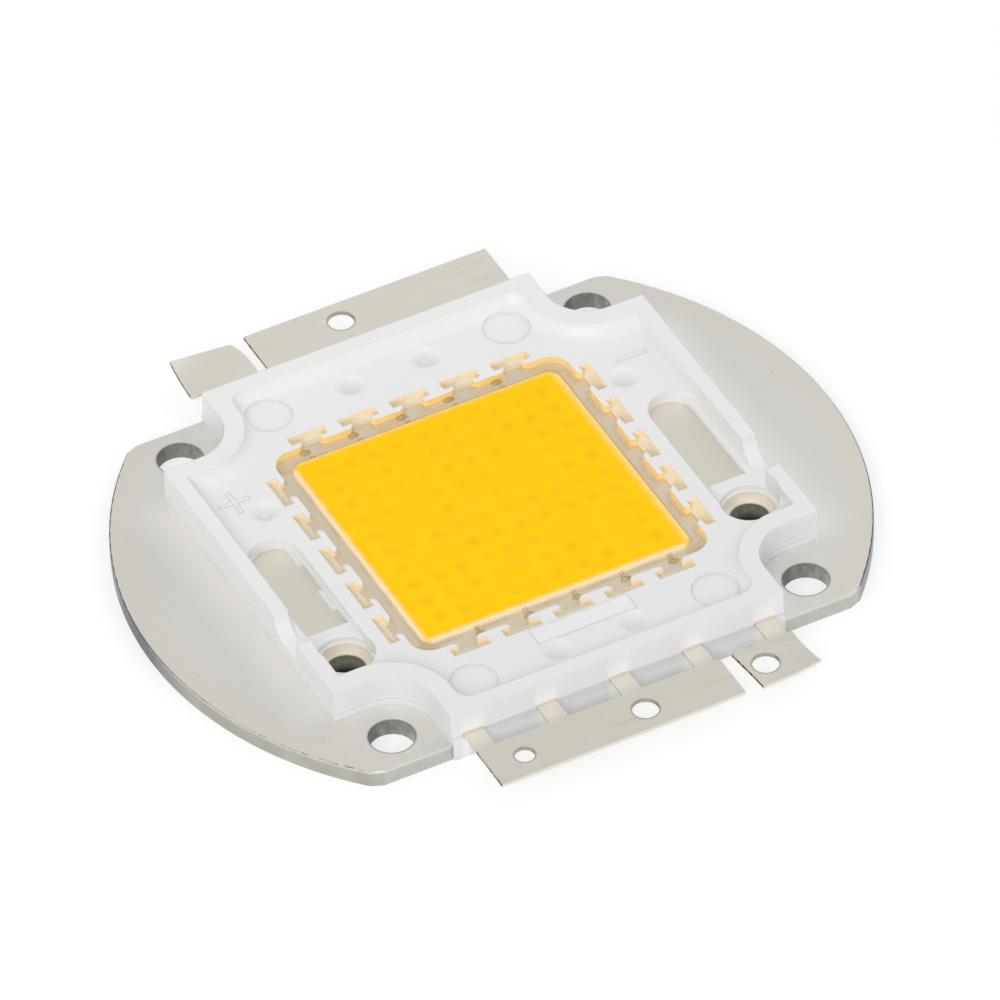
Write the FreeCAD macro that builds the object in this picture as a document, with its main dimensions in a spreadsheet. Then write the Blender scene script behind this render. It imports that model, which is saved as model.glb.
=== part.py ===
import FreeCAD, Part
import os
import re
import Sketcher

# COB LED: a chip-on-board light source of about 100 watts.
#
# A round copper base plate with two flats carries a white moulded housing.
# Blue chips sit on the plate in a square well, under a yellow phosphor layer and
# clear silicone. Four pieces of a stamped lead frame are moulded into the housing:
# the front and back pieces come out as solder tabs, the side pieces show in windows.
#
# Millimetres, +Z is the way the light goes. The origin is at the centre of the
# plate's underside, -Y is the front (the side whose wide tab has two holes).

doc = FreeCAD.newDocument("CobLed")

SIZES = {
    # Base plate: a round disc cut by two flats, with screw holes on a square
    "plate_thickness": 1.75,
    "plate_margin": 5,
    "plate_flat_proud": 0.05,
    "plate_corner_cut": 0.7,
    "plate_edge_round": 0.15,
    "mount_hole": 4.3,
    # Housing: a square moulding with a raised rim, cut away around the mounting screws.
    # Its length and width come from the opening outwards.
    "housing_height": 3.5,
    "rim_height": 1.35,
    "rim_width": 1.5,
    "cove_land": 0.05,
    "corner_wall": 1.91,
    "corner_clearance": 4.2,
    "corner_rim": 1.9,
    "recess_corner_extra": 0.2,
    "skirt_thickness": 0.35,
    "skirt_side_gap": 0.05,
    "skirt_lift": 0.1,
    # Opening for the light source, and the T slots that the silicone grips
    "opening_side": 30.2,
    "opening_round": 2,
    "slot_corner_distance": 4.6,
    "slot_head_length": 3.75,
    "slot_head_width": 1,
    "slot_head_gap": 0.6,
    "slot_neck_width": 1.9,
    "slot_round": 0.55,
    "slot_cover": 0.3,
    "floor_margin": 6.65,
    # Side windows, the wire shelf in front of them, the lens screw's hole at the
    # shelf's front end and the notch through the rim beside the shelf
    "window_gap": 1.45,
    "window_length": 5.2,
    "window_reach": 5.3,
    "window_inner_step": 0.15,
    "window_outer_step": 0.75,
    "lens_offset": 11.35,
    "lens_hole": 3.6,
    "lens_bore": 5.5,
    "lens_seat_bore": 4.9,
    "shelf_depth": 0.75,
    "shelf_reach": 4.15,
    "notch_start": 1.7,
    "notch_width": 4.5,
    "notch_round": 2.05,
    # Lead frame: stamped sheet, its top face at one level all over
    "lead_height": 0.9,
    "lead_thickness": 0.35,
    "bus_width": 0.45,
    "bus_setback": 0.6,
    "bus_end_gap": 2.4,
    "finger_width": 1.8,
    "fan_gap": 0.3,
    "fan_cover": 2.35,
    "leg_width": 1.95,
    "leg_length": 2.55,
    "leg_edge_gap": 1.14,
    "tab_width": 5.05,
    "tab_overhang": 0.5,
    "narrow_tab_length": 6.2,
    "narrow_tab_flare": 0.5,
    "tab_hole_inset": 2.6,
    "screw_tab_hole": 2.5,
    "wire_tab_hole": 1.9,
    "wire_tab_hole_offset": 12.3,
    # Side pieces of the lead frame
    "rail_strip_width": 0.75,
    "rail_strip_end_gap": 1.8,
    "rail_bar_width": 1.3,
    "rail_edge_margin": 0.7,
    "rail_notch_depth": 0.45,
    "rail_back_notch": 3.3,
    "rail_front_notch": 3.1,
    "rail_front_tooth": 2.4,
    # Phosphor layer over the chips, and the clear silicone over and around it
    "lip_setback_x": 1.3,
    "lip_setback_y": 1.5,
    "phosphor_drop": 0.45,
    "phosphor_round": 1.2,
    "phosphor_edge_round": 0.25,
    "silicone_drop": 0.05,
    # Chips and bond wires
    "chip_edge_x": 2.68,
    "chip_edge_y": 2.48,
    "chip_side": 1.14,
    "chip_height": 0.15,
    "pad_inset": 0.25,
    "wire_thickness": 0.06,
    "wire_loop": 0.35,
    "wire_pair_gap": 0.3,
    # Marks that the mould leaves on the floor of the housing
    "pin_mark_diameter": 4.4,
    "pin_mark_depth": 0.08,
    "pin_mark_side_gap": 0.55,
    "pin_mark_inset": 2.95,
    "dimple_diameter": 2.9,
    "dimple_depth": 0.5,
    "dimple_spread": 7.8,
    "dimple_side_gap": 1.9,
    "dimple_side_offset": 9,
    "sign_inset": 0.2,
    "sign_offset": 11.3,
    "sign_length": 3,
    "sign_stroke": 0.35,
    "sign_height": 0.1,
    "plaque_length": 10,
    "plaque_width": 2,
    "plaque_gap": 0.3,
    "plaque_height": 0.06,
}

SLOTS_PER_SIDE = 5
CHIP_COLUMNS = 10
CHIP_ROWS = 10
SIDES = (-1, 1)

sheet = doc.addObject("Spreadsheet::Sheet", "Sizes")
for row, (alias, value) in enumerate(SIZES.items(), start=1):
    sheet.set(f"A{row}", alias)
    sheet.set(f"B{row}", str(value))
    sheet.setAlias(f"B{row}", alias)
doc.recompute()

# Levels above the plate's underside
PLATE_TOP = "plate_thickness"
RIM_TOP = "(plate_thickness + housing_height)"
FLOOR = "(plate_thickness + housing_height - rim_height)"
SHELF = f"({FLOOR} - shelf_depth)"
LEAD_TOP = "(plate_thickness + lead_height)"
LEAD_BOTTOM = "(plate_thickness + lead_height - lead_thickness)"
SILICONE_TOP = f"({FLOOR} - silicone_drop)"
PHOSPHOR_TOP = f"({FLOOR} - phosphor_drop)"
CHIP_TOP = "(plate_thickness + chip_height)"

# Distances from the middle that several pieces share
OPENING = "(opening_side / 2)"
SLOT_PITCH = f"((opening_side - 2 * slot_corner_distance) / {SLOTS_PER_SIDE - 1})"
SLOT_END = f"({OPENING} + slot_head_gap + slot_head_width)"
CUT_CORNER = f"({OPENING} + corner_wall)"
MOUNT = f"({CUT_CORNER} + corner_clearance)"
PLATE_DIAMETER = f"(2 * {MOUNT} * sqrt(2) + 2 * plate_margin)"
WINDOW_INNER = f"({SLOT_END} + window_gap)"
LENS_X = f"({WINDOW_INNER} + window_length / 2)"
RECESS_X = f"({WINDOW_INNER} + window_length)"
RECESS_Y = f"({SLOT_END} + floor_margin)"
RECESS_CORNER = f"({CUT_CORNER} - corner_rim)"
HOUSING_X = f"({RECESS_X} + rim_width)"
HOUSING_Y = f"({RECESS_Y} + rim_width)"
PLATE_FLAT = f"({HOUSING_Y} + plate_flat_proud)"
COVE = "(rim_height - cove_land)"
WINDOW_FRONT = "(lens_offset - shelf_reach)"
NOTCH_FRONT = "(lens_offset - notch_start)"
BUS_OUTER = f"({OPENING} - bus_setback)"
BUS_INNER = f"({OPENING} - bus_setback - bus_width)"
FAN_START = f"({SLOT_END} + fan_gap)"
FAN_END = f"({HOUSING_Y} - fan_cover)"
LEG_PITCH = f"((2 * {CUT_CORNER} - 2 * leg_edge_gap - leg_width) / {SLOTS_PER_SIDE - 1})"
TAB_START = f"({HOUSING_Y} + leg_length)"
TAB_END = f"({TAB_START} + tab_width)"
TAB_HOLE = f"({TAB_START} + tab_hole_inset)"
PHOSPHOR_X = f"({OPENING} - lip_setback_x)"
PHOSPHOR_Y = f"({OPENING} - lip_setback_y)"


def bound(text):
    """The same expression, with every size written as a cell of the sheet."""
    return re.sub(r"[a-z_]+", lambda word: "Sizes." + word.group() if word.group() in SIZES else word.group(), text)


def size(text):
    """The present value of an expression."""
    return float(sheet.evalExpression(bound(text)))


def bind(item, expressions):
    for name, text in expressions.items():
        item.setExpression(name, bound(text))


def new_sketch(body, name, level):
    """An empty sketch on the body's own XY plane, raised to a level."""
    plane = next(item for item in body.Origin.OriginFeatures if item.Role == "XY_Plane")
    sketch = body.newObject("Sketcher::SketchObject", name)
    sketch.AttachmentSupport = (plane, "")
    sketch.MapMode = "FlatFace"
    bind(sketch, {"AttachmentOffset.Base.z": level})
    return sketch


def hold(sketch, kind, places, text):
    """A dimension of the sketch that follows the sheet."""
    index = sketch.addConstraint(Sketcher.Constraint(kind, *places, size(text)))
    sketch.setExpression(f"Constraints[{index}]", bound(text))


def draw_polygon(sketch, corners):
    """A closed outline whose every corner is held at an (x, y) pair of expressions."""
    first = sketch.GeometryCount
    count = len(corners)
    points = [FreeCAD.Vector(size(x), size(y), 0) for x, y in corners]
    for index in range(count):
        sketch.addGeometry(Part.LineSegment(points[index], points[(index + 1) % count]))
    for index, (x, y) in enumerate(corners):
        line = first + index
        sketch.addConstraint(Sketcher.Constraint("Coincident", line, 2, first + (index + 1) % count, 1))
        hold(sketch, "DistanceX", (-1, 1, line, 1), x)
        hold(sketch, "DistanceY", (-1, 1, line, 1), y)


def draw_rectangle(sketch, left, right, front, back):
    draw_polygon(sketch, [(left, front), (right, front), (right, back), (left, back)])


def draw_centred(sketch, half_x, half_y):
    draw_rectangle(sketch, f"-{half_x}", half_x, f"-{half_y}", half_y)


def draw_cross(sketch, half_x, half_y, inner_x, inner_y):
    """A rectangle with a square bite out of each corner."""
    corners = [(inner_x, half_y), (inner_x, inner_y), (half_x, inner_y)]
    outline = list(corners)
    outline += [(x, f"-{y}") for x, y in reversed(corners)]
    outline += [(f"-{x}", f"-{y}") for x, y in corners]
    outline += [(f"-{x}", y) for x, y in reversed(corners)]
    draw_polygon(sketch, outline)


def draw_circle(sketch, x, y, diameter):
    centre = FreeCAD.Vector(size(x), size(y), 0)
    circle = sketch.addGeometry(Part.Circle(centre, FreeCAD.Vector(0, 0, 1), size(diameter) / 2))
    hold(sketch, "DistanceX", (-1, 1, circle, 3), x)
    hold(sketch, "DistanceY", (-1, 1, circle, 3), y)
    hold(sketch, "Diameter", (circle,), diameter)


def pad(body, sketch, name, height):
    feature = body.newObject("PartDesign::Pad", name)
    feature.Profile = sketch
    bind(feature, {"Length": height})
    feature.recompute(True)
    body.recompute()
    return feature


def pocket(body, sketch, name):
    """Cuts away everything above the sketch, and makes sure that it cut something."""
    before = body.Shape.Volume
    feature = body.newObject("PartDesign::Pocket", name)
    feature.Profile = sketch
    feature.Type = "ThroughAll"
    feature.Reversed = True
    feature.recompute(True)
    body.recompute()
    if body.Shape.Volume >= before - 1e-6:
        raise RuntimeError(f"{name} cuts nothing")
    return feature


def edges_where(shape, test):
    return [f"Edge{index}" for index, edge in enumerate(shape.Edges, start=1) if test(edge)]


def is_upright(edge):
    box = edge.BoundBox
    return box.ZLength > 1e-4 and box.XLength < 1e-4 and box.YLength < 1e-4


def stands_at(edge, x, y):
    """An upright edge at (x, y) or at any of its mirror images."""
    return is_upright(edge) and abs(abs(edge.BoundBox.XMin) - x) < 1e-3 and abs(abs(edge.BoundBox.YMin) - y) < 1e-3


def round_edges(body, name, radius, test):
    base = body.Tip
    feature = body.newObject("PartDesign::Fillet", name)
    feature.Base = (base, edges_where(base.Shape, test))
    bind(feature, {"Radius": radius})
    feature.recompute(True)
    body.recompute()
    return feature


def block(name, left, front, bottom, length, width, height):
    item = doc.addObject("Part::Box", name)
    bind(item, {"Length": length, "Width": width, "Height": height})
    bind(item, {"Placement.Base.x": left, "Placement.Base.y": front, "Placement.Base.z": bottom})
    return item


def centred_block(name, x, y, bottom, length, width, height):
    return block(name, f"{x} - {length} / 2", f"{y} - {width} / 2", bottom, length, width, height)


def rod(name, x, y, bottom, diameter, height):
    item = doc.addObject("Part::Cylinder", name)
    bind(item, {"Radius": f"{diameter} / 2", "Height": height})
    bind(item, {"Placement.Base.x": x, "Placement.Base.y": y, "Placement.Base.z": bottom})
    return item


def fuse(name, items):
    item = doc.addObject("Part::MultiFuse", name)
    item.Shapes = items
    item.Refine = True
    return item


def cut(name, base, tool):
    item = doc.addObject("Part::Cut", name)
    item.Base = base
    item.Tool = tool
    item.Refine = True
    return item


def finish(item, node):
    """Names a finished sub-part. Its file takes the same name."""
    item.Label = node
    nodes.append(item)


nodes = []

# Base plate: blanked copper, plated. The disc is cut by a flat in front and behind,
# the four small corners are taken off and the blanked edge is slightly round on top.

plate = doc.addObject("PartDesign::Body", "BasePlate")
disc_sketch = new_sketch(plate, "DiscSketch", "0")
draw_circle(disc_sketch, "0", "0", PLATE_DIAMETER)
pad(plate, disc_sketch, "Disc", PLATE_TOP)

flat_sketch = new_sketch(plate, "FlatSketch", "0")
draw_rectangle(flat_sketch, f"-{PLATE_DIAMETER}", PLATE_DIAMETER, PLATE_FLAT, PLATE_DIAMETER)
draw_rectangle(flat_sketch, f"-{PLATE_DIAMETER}", PLATE_DIAMETER, f"-{PLATE_DIAMETER}", f"-{PLATE_FLAT}")
pocket(plate, flat_sketch, "Flats")

blank = plate.Tip
corners = plate.newObject("PartDesign::Chamfer", "Corners")
corners.Base = (blank, edges_where(blank.Shape, is_upright))
bind(corners, {"Size": "plate_corner_cut"})
corners.recompute(True)
plate.recompute()

plate_top_level = size(PLATE_TOP)
round_edges(plate, "EdgeRound", "plate_edge_round",
            lambda edge: edge.BoundBox.ZMin > plate_top_level - 1e-4)

hole_sketch = new_sketch(plate, "HoleSketch", "0")
for side_x in SIDES:
    for side_y in SIDES:
        draw_circle(hole_sketch, f"{side_x} * {MOUNT}", f"{side_y} * {MOUNT}", "mount_hole")
    draw_circle(hole_sketch, f"{side_x} * {LENS_X}", "-lens_offset", "lens_hole")
pocket(plate, hole_sketch, "Holes")
finish(plate, "base_plate")

# Front and back lead frame pieces: plated strip, stamped in one piece each. A bus
# strip in the well takes the bond wires. Five fingers leave it, fan out inside the
# moulding and come out as legs: four on a wide tab, the last on a narrow tab.
# The back piece is the front one turned half round, with one hole, and its narrow tab
# was snipped by hand, so it is wider at the root.


def lead_piece(name, turn):
    """turn is -1 for the piece whose tabs point to the front, 1 for the back one."""
    parts = []

    def sheet_block(label, x_from, x_to, y_from, y_to):
        """A patch of the sheet between two x and two y, given for the back piece."""
        left, right = (x_from, x_to) if turn > 0 else (f"-({x_to})", f"-({x_from})")
        front = y_from if turn > 0 else f"-({y_to})"
        parts.append(block(f"{name}{label}", left, front, LEAD_BOTTOM,
                           f"({right}) - ({left})", f"({y_to}) - ({y_from})", "lead_thickness"))

    bus_end = f"({OPENING} - bus_end_gap)"
    sheet_block("Bus", f"-{bus_end}", bus_end, BUS_INNER, BUS_OUTER)
    for index in range(SLOTS_PER_SIDE):
        step = index - (SLOTS_PER_SIDE - 1) // 2
        finger = f"{step} * {SLOT_PITCH}"
        leg = f"{step} * {LEG_PITCH}"
        sheet_block(f"Finger{index}", f"{finger} - finger_width / 2", f"{finger} + finger_width / 2",
                    BUS_OUTER, FAN_START)
        sheet_block(f"Leg{index}", f"{leg} - leg_width / 2", f"{leg} + leg_width / 2", FAN_END, TAB_START)
        fan = doc.addObject("Part::Wedge", f"{name}Fan{index}")
        start, end = (FAN_START, FAN_END) if turn > 0 else (f"-{FAN_END}", f"-{FAN_START}")
        near, far = (finger, leg) if turn > 0 else (f"-({leg})", f"-({finger})")
        near_width, far_width = ("finger_width", "leg_width") if turn > 0 else ("leg_width", "finger_width")
        bind(fan, {
            "Xmin": f"{near} - {near_width} / 2", "Xmax": f"{near} + {near_width} / 2",
            "X2min": f"{far} - {far_width} / 2", "X2max": f"{far} + {far_width} / 2",
            "Ymin": start, "Ymax": end,
            "Zmin": LEAD_BOTTOM, "Zmax": LEAD_TOP, "Z2min": LEAD_BOTTOM, "Z2max": LEAD_TOP,
        })
        parts.append(fan)
    end_leg = f"({(SLOTS_PER_SIDE - 1) // 2} * {LEG_PITCH} + leg_width / 2)"
    inner_leg = f"({(SLOTS_PER_SIDE - 3) // 2} * {LEG_PITCH} + leg_width / 2)"
    wide_end = end_leg if turn < 0 else f"({end_leg} + tab_overhang)"
    sheet_block("WideTab", f"-({inner_leg} + tab_overhang)", wide_end, TAB_START, TAB_END)
    narrow_outer = f"({end_leg} + tab_overhang)"
    narrow_inner = f"({narrow_outer} - narrow_tab_length)"
    if turn < 0:
        sheet_block("NarrowTab", f"-{narrow_outer}", f"-{narrow_inner}", TAB_START, TAB_END)
    else:
        narrow = doc.addObject("Part::Wedge", f"{name}NarrowTab")
        bind(narrow, {
            "Xmin": f"-{narrow_outer} - narrow_tab_flare", "Xmax": f"-{narrow_inner} + narrow_tab_flare / 2",
            "X2min": f"-{narrow_outer}", "X2max": f"-{narrow_inner}",
            "Ymin": TAB_START, "Ymax": TAB_END,
            "Zmin": LEAD_BOTTOM, "Zmax": LEAD_TOP, "Z2min": LEAD_BOTTOM, "Z2max": LEAD_TOP,
        })
        parts.append(narrow)

    holes = [rod(f"{name}ScrewHole", "0", f"{turn} * {TAB_HOLE}", LEAD_BOTTOM, "screw_tab_hole", "lead_thickness")]
    if turn < 0:
        holes.append(rod(f"{name}NarrowHole", "wire_tab_hole_offset", f"-{TAB_HOLE}", LEAD_BOTTOM,
                         "screw_tab_hole", "lead_thickness"))
        holes.append(rod(f"{name}WireHole", "-wire_tab_hole_offset", f"-{TAB_HOLE}", LEAD_BOTTOM,
                         "wire_tab_hole", "lead_thickness"))
    return cut(name, fuse(f"{name}Sheet", parts), fuse(f"{name}Holes", holes) if turn < 0 else holes[0])


lead_front = lead_piece("LeadFront", -1)
finish(lead_front, "lead_front")
lead_back = lead_piece("LeadBack", 1)
finish(lead_back, "lead_back")

# Side lead frame pieces: dummy sides of the same stamping. A strip along the well, five
# fingers, a cross bar inside the moulding and a plate that shows in the window, with
# notches in its inner edge that the plastic fills.


def rail_piece(name, side):
    parts = []

    def sheet_block(label, near, far, front, back):
        """A patch of the sheet between two distances from the middle."""
        left, right = (near, far) if side > 0 else (f"-({far})", f"-({near})")
        return block(f"{name}{label}", left, front, LEAD_BOTTOM,
                     f"({right}) - ({left})", f"({back}) - ({front})", "lead_thickness")

    strip_outer = f"({BUS_INNER} + rail_strip_width)"
    strip_end = f"({OPENING} - rail_strip_end_gap)"
    bar_inner = f"({WINDOW_INNER} - rail_bar_width)"
    bar_end = f"({(SLOTS_PER_SIDE - 1) // 2} * {SLOT_PITCH} + finger_width / 2)"
    plate_front = f"-({WINDOW_FRONT} + rail_edge_margin)"
    plate_back = "(window_reach + rail_edge_margin)"
    parts.append(sheet_block("Strip", BUS_INNER, strip_outer, f"-{strip_end}", strip_end))
    parts.append(sheet_block("Bar", bar_inner, WINDOW_INNER, f"-{bar_end}", bar_end))
    parts.append(sheet_block("Plate", WINDOW_INNER, RECESS_X, plate_front, plate_back))
    for index in range(SLOTS_PER_SIDE):
        finger = f"{index - (SLOTS_PER_SIDE - 1) // 2} * {SLOT_PITCH}"
        parts.append(sheet_block(f"Finger{index}", strip_outer, bar_inner,
                                 f"{finger} - finger_width / 2", f"{finger} + finger_width / 2"))
    notch_outer = f"({WINDOW_INNER} + window_inner_step + rail_notch_depth)"
    tooth_back = f"(rail_front_tooth - {WINDOW_FRONT})"
    notches = [
        sheet_block("BackNotch", WINDOW_INNER, notch_outer, "(window_reach - rail_back_notch)", plate_back),
        sheet_block("FrontNotch", WINDOW_INNER, notch_outer, tooth_back, f"({tooth_back} + rail_front_notch)"),
    ]
    return cut(name, fuse(f"{name}Sheet", parts), fuse(f"{name}Notches", notches))


rail_left = rail_piece("RailLeft", -1)
finish(rail_left, "lead_rail_left")
rail_right = rail_piece("RailRight", 1)
finish(rail_right, "lead_rail_right")

# Housing: white heat-proof plastic, moulded over the lead frame and the plate. The
# corners are cut away around the mounting screws, the face is sunk inside a raised rim.

shell = doc.addObject("PartDesign::Body", "HousingShell")
outline_sketch = new_sketch(shell, "OutlineSketch", PLATE_TOP)
draw_cross(outline_sketch, HOUSING_X, HOUSING_Y, CUT_CORNER, CUT_CORNER)
pad(shell, outline_sketch, "Outline", "housing_height")
cut_corner = size(CUT_CORNER)
round_edges(shell, "ScrewClearance", "corner_clearance", lambda edge: stands_at(edge, cut_corner, cut_corner))

recess_x = size(RECESS_X)
recess_y = size(RECESS_Y)
recess_corner = size(RECESS_CORNER)
floor_level = size(FLOOR)
recess_sketch = new_sketch(shell, "RecessSketch", FLOOR)
draw_cross(recess_sketch, RECESS_X, RECESS_Y, RECESS_CORNER, RECESS_CORNER)
pocket(shell, recess_sketch, "Recess")
recess_round = f"({COVE} + recess_corner_extra)"
round_edges(shell, "RecessAroundScrews",
            f"min(corner_clearance + corner_rim; min({RECESS_X}; {RECESS_Y}) - {RECESS_CORNER} - {recess_round} - 0.1)",
            lambda edge: stands_at(edge, recess_corner, recess_corner))
round_edges(shell, "RecessCorners", recess_round,
            lambda edge: stands_at(edge, recess_corner, recess_y))


def at_rim_foot(edge):
    """Edges where the recess floor meets the rim, but not along the two plain side walls."""
    box = edge.BoundBox
    on_floor = abs(box.ZMin - floor_level) < 1e-4 and abs(box.ZMax - floor_level) < 1e-4
    return on_floor and not (box.XLength < 1e-4 and abs(abs(box.XMin) - recess_x) < 1e-3)


round_edges(shell, "RimCove", COVE, at_rim_foot)

# The well: a square opening down to the lead frame, then a smaller one to the plate.
# The step between them is the lip that carries the lead frame's inner edge.

opening = size(OPENING)
opening_sketch = new_sketch(shell, "OpeningSketch", LEAD_TOP)
draw_centred(opening_sketch, OPENING, OPENING)
pocket(shell, opening_sketch, "Opening")
round_edges(shell, "OpeningCorners", "opening_round", lambda edge: stands_at(edge, opening, opening))

well_x = size(PHOSPHOR_X)
well_y = size(PHOSPHOR_Y)
well_sketch = new_sketch(shell, "WellSketch", PLATE_TOP)
draw_centred(well_sketch, PHOSPHOR_X, PHOSPHOR_Y)
pocket(shell, well_sketch, "Well")
round_edges(shell, "WellCorners", "phosphor_round", lambda edge: stands_at(edge, well_x, well_y))

# T slots around the opening: the neck goes down to the lead frame, the head stops
# above it. One slot is drawn and repeated along each side. The clear silicone that
# fills them is made with the same functions.

SLOT_FLOOR = f"({LEAD_TOP} + slot_cover)"
HEAD_START = f"({OPENING} + slot_head_gap)"


def draw_first_slot(body):
    """The sketches of the T and of its neck, for the first slot behind the opening."""
    middle = f"-{(SLOTS_PER_SIDE - 1) // 2} * {SLOT_PITCH}"
    neck_left = f"({middle} - slot_neck_width / 2)"
    neck_right = f"({middle} + slot_neck_width / 2)"
    head_left = f"({middle} - slot_head_length / 2)"
    head_right = f"({middle} + slot_head_length / 2)"
    slot_sketch = new_sketch(body, "SlotSketch", SLOT_FLOOR)
    draw_polygon(slot_sketch, [
        (neck_left, OPENING), (neck_right, OPENING), (neck_right, HEAD_START), (head_right, HEAD_START),
        (head_right, SLOT_END), (head_left, SLOT_END), (head_left, HEAD_START), (neck_left, HEAD_START),
    ])
    neck_sketch = new_sketch(body, "NeckSketch", LEAD_TOP)
    draw_rectangle(neck_sketch, neck_left, neck_right, OPENING, HEAD_START)
    return slot_sketch, neck_sketch


def repeat_slots(body, originals, sketch):
    slots = body.newObject("PartDesign::MultiTransform", "Slots")
    slots.Originals = originals
    along = body.newObject("PartDesign::LinearPattern", "AlongSide")
    along.Direction = (sketch, ["H_Axis"])
    along.Occurrences = SLOTS_PER_SIDE
    bind(along, {"Length": f"{SLOTS_PER_SIDE - 1} * {SLOT_PITCH}"})
    around = body.newObject("PartDesign::PolarPattern", "AroundOpening")
    around.Axis = (sketch, ["N_Axis"])
    around.Angle = 360
    around.Occurrences = 4
    slots.Transformations = [along, around]
    body.Tip = slots
    doc.recompute()


def is_shoulder(edge):
    """Upright edges where a slot's neck meets the wall of the opening."""
    if not is_upright(edge):
        return False
    x, y = abs(edge.BoundBox.XMin), abs(edge.BoundBox.YMin)
    return abs(max(x, y) - opening) < 1e-3 and min(x, y) < opening - size("opening_round") - 1e-3


slot_sketch, neck_sketch = draw_first_slot(shell)
slot_pocket = pocket(shell, slot_sketch, "Slot")
neck_pocket = pocket(shell, neck_sketch, "Neck")
repeat_slots(shell, [slot_pocket, neck_pocket], slot_sketch)
round_edges(shell, "SlotShoulders", "slot_round", is_shoulder)

# Windows beside the opening. Each is a slot with a round back end that goes down to
# the lead frame, with a shallower shelf between it and the lens screw's hole.

deep_length = "(window_length - window_inner_step - window_outer_step)"
shelf_centre = "(window_reach - window_length / 2)"
deep_centre = f"(window_reach - {deep_length} / 2)"
cove_front = f"({NOTCH_FRONT} - notch_width + notch_round)"
notch_near = f"({RECESS_X} - window_outer_step)"
notch_reach = "(rim_width + window_outer_step + 1)"
tools = []
additions = []
for side, word in zip(SIDES, ("Left", "Right")):
    lens_x = f"{side} * {LENS_X}"
    deep_x = f"{side} * ({LENS_X} + (window_inner_step - window_outer_step) / 2)"
    tools.append(centred_block(f"{word}Shelf", lens_x, f"({shelf_centre} - lens_offset) / 2", SHELF,
                               "window_length", f"({shelf_centre} + lens_offset)", "housing_height"))
    tools.append(rod(f"{word}ShelfEnd", lens_x, shelf_centre, SHELF, "window_length", "housing_height"))
    tools.append(centred_block(f"{word}Window", deep_x, f"({deep_centre} - {WINDOW_FRONT}) / 2", LEAD_TOP,
                               deep_length, f"({deep_centre} + {WINDOW_FRONT})", "housing_height"))
    tools.append(rod(f"{word}WindowEnd", deep_x, deep_centre, LEAD_TOP, deep_length, "housing_height"))
    tools.append(rod(f"{word}LensBore", lens_x, "-lens_offset", LEAD_TOP, "lens_bore", "housing_height"))
    tools.append(rod(f"{word}LensSeat", lens_x, "-lens_offset", PLATE_TOP, "lens_seat_bore", "housing_height"))

    # Notch through the rim, where a wire can leave: a step in front, a cove behind
    notch_left = notch_near if side > 0 else f"-({notch_near} + {notch_reach})"
    tools.append(block(f"{word}Notch", notch_left, f"-{NOTCH_FRONT}", SHELF,
                       notch_reach, f"({NOTCH_FRONT} - {cove_front})", "housing_height"))
    tools.append(block(f"{word}NotchTop", notch_left, f"-{cove_front}", f"{SHELF} + notch_round",
                       notch_reach, "notch_round", "housing_height"))
    cove = rod(f"{word}NotchCove", notch_left, f"-{cove_front}", f"{SHELF} + notch_round",
               "(2 * notch_round)", notch_reach)
    cove.Placement.Rotation = FreeCAD.Rotation(FreeCAD.Vector(0, 1, 0), 90)
    tools.append(cove)

# Skirts: where the legs come out, the moulding wraps down over the plate's flats.

skirt_end = f"({CUT_CORNER} - skirt_side_gap)"
skirt_outer = f"({HOUSING_Y} + skirt_thickness)"
for side, word in zip(SIDES, ("Front", "Back")):
    ledge_front = RECESS_Y if side > 0 else f"-{skirt_outer}"
    drop_front = PLATE_FLAT if side > 0 else f"-{skirt_outer}"
    additions.append(block(f"{word}Ledge", f"-{skirt_end}", ledge_front, PLATE_TOP,
                           f"2 * {skirt_end}", f"{skirt_outer} - {RECESS_Y}", f"{LEAD_BOTTOM} - {PLATE_TOP}"))
    additions.append(block(f"{word}Skirt", f"-{skirt_end}", drop_front, "skirt_lift",
                           f"2 * {skirt_end}", f"{skirt_outer} - {PLATE_FLAT}", f"{LEAD_BOTTOM} - skirt_lift"))

# Marks on the floor: flat prints of the ejector pins, cone dimples of the locating
# pins, a plus and a minus beside the terminals and a bare plaque.

PIN_X = f"({RECESS_CORNER} - pin_mark_side_gap - pin_mark_diameter / 2)"
PIN_Y = f"({RECESS_Y} - pin_mark_inset)"
SIGN_X = f"({LENS_X} - sign_inset)"
for side_x in SIDES:
    for side_y in SIDES:
        tag = f"{'L' if side_x < 0 else 'R'}{'F' if side_y < 0 else 'B'}"
        tools.append(rod(f"PinMark{tag}", f"{side_x} * {PIN_X}", f"{side_y} * {PIN_Y}",
                         f"{FLOOR} - pin_mark_depth", "pin_mark_diameter", "rim_height / 2"))
dimples = [(f"{side} * dimple_spread / 2", f"{end} * {PIN_Y}") for side in SIDES for end in SIDES]
dimples += [(f"{side} * ({SLOT_END} + dimple_side_gap)", "dimple_side_offset") for side in SIDES]
for index, (x, y) in enumerate(dimples):
    dimple = doc.addObject("Part::Cone", f"Dimple{index}")
    bind(dimple, {"Radius1": "dimple_diameter / 6", "Radius2": "dimple_diameter / 2", "Height": "dimple_depth",
                  "Placement.Base.x": x, "Placement.Base.y": y, "Placement.Base.z": f"{FLOOR} - dimple_depth"})
    tools.append(dimple)

for side, word in zip(SIDES, ("Plus", "Minus")):
    additions.append(centred_block(f"{word}Bar", f"{side} * {SIGN_X}", "sign_offset", FLOOR,
                                   "sign_length", "sign_stroke", "sign_height"))
additions.append(centred_block("PlusPost", f"-{SIGN_X}", "sign_offset", FLOOR,
                               "sign_stroke", "sign_length", "sign_height"))
additions.append(centred_block("Plaque", "0", f"-({SLOT_END} + plaque_gap + plaque_width / 2)", FLOOR,
                               "plaque_length", "plaque_width", "plaque_height"))

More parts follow.
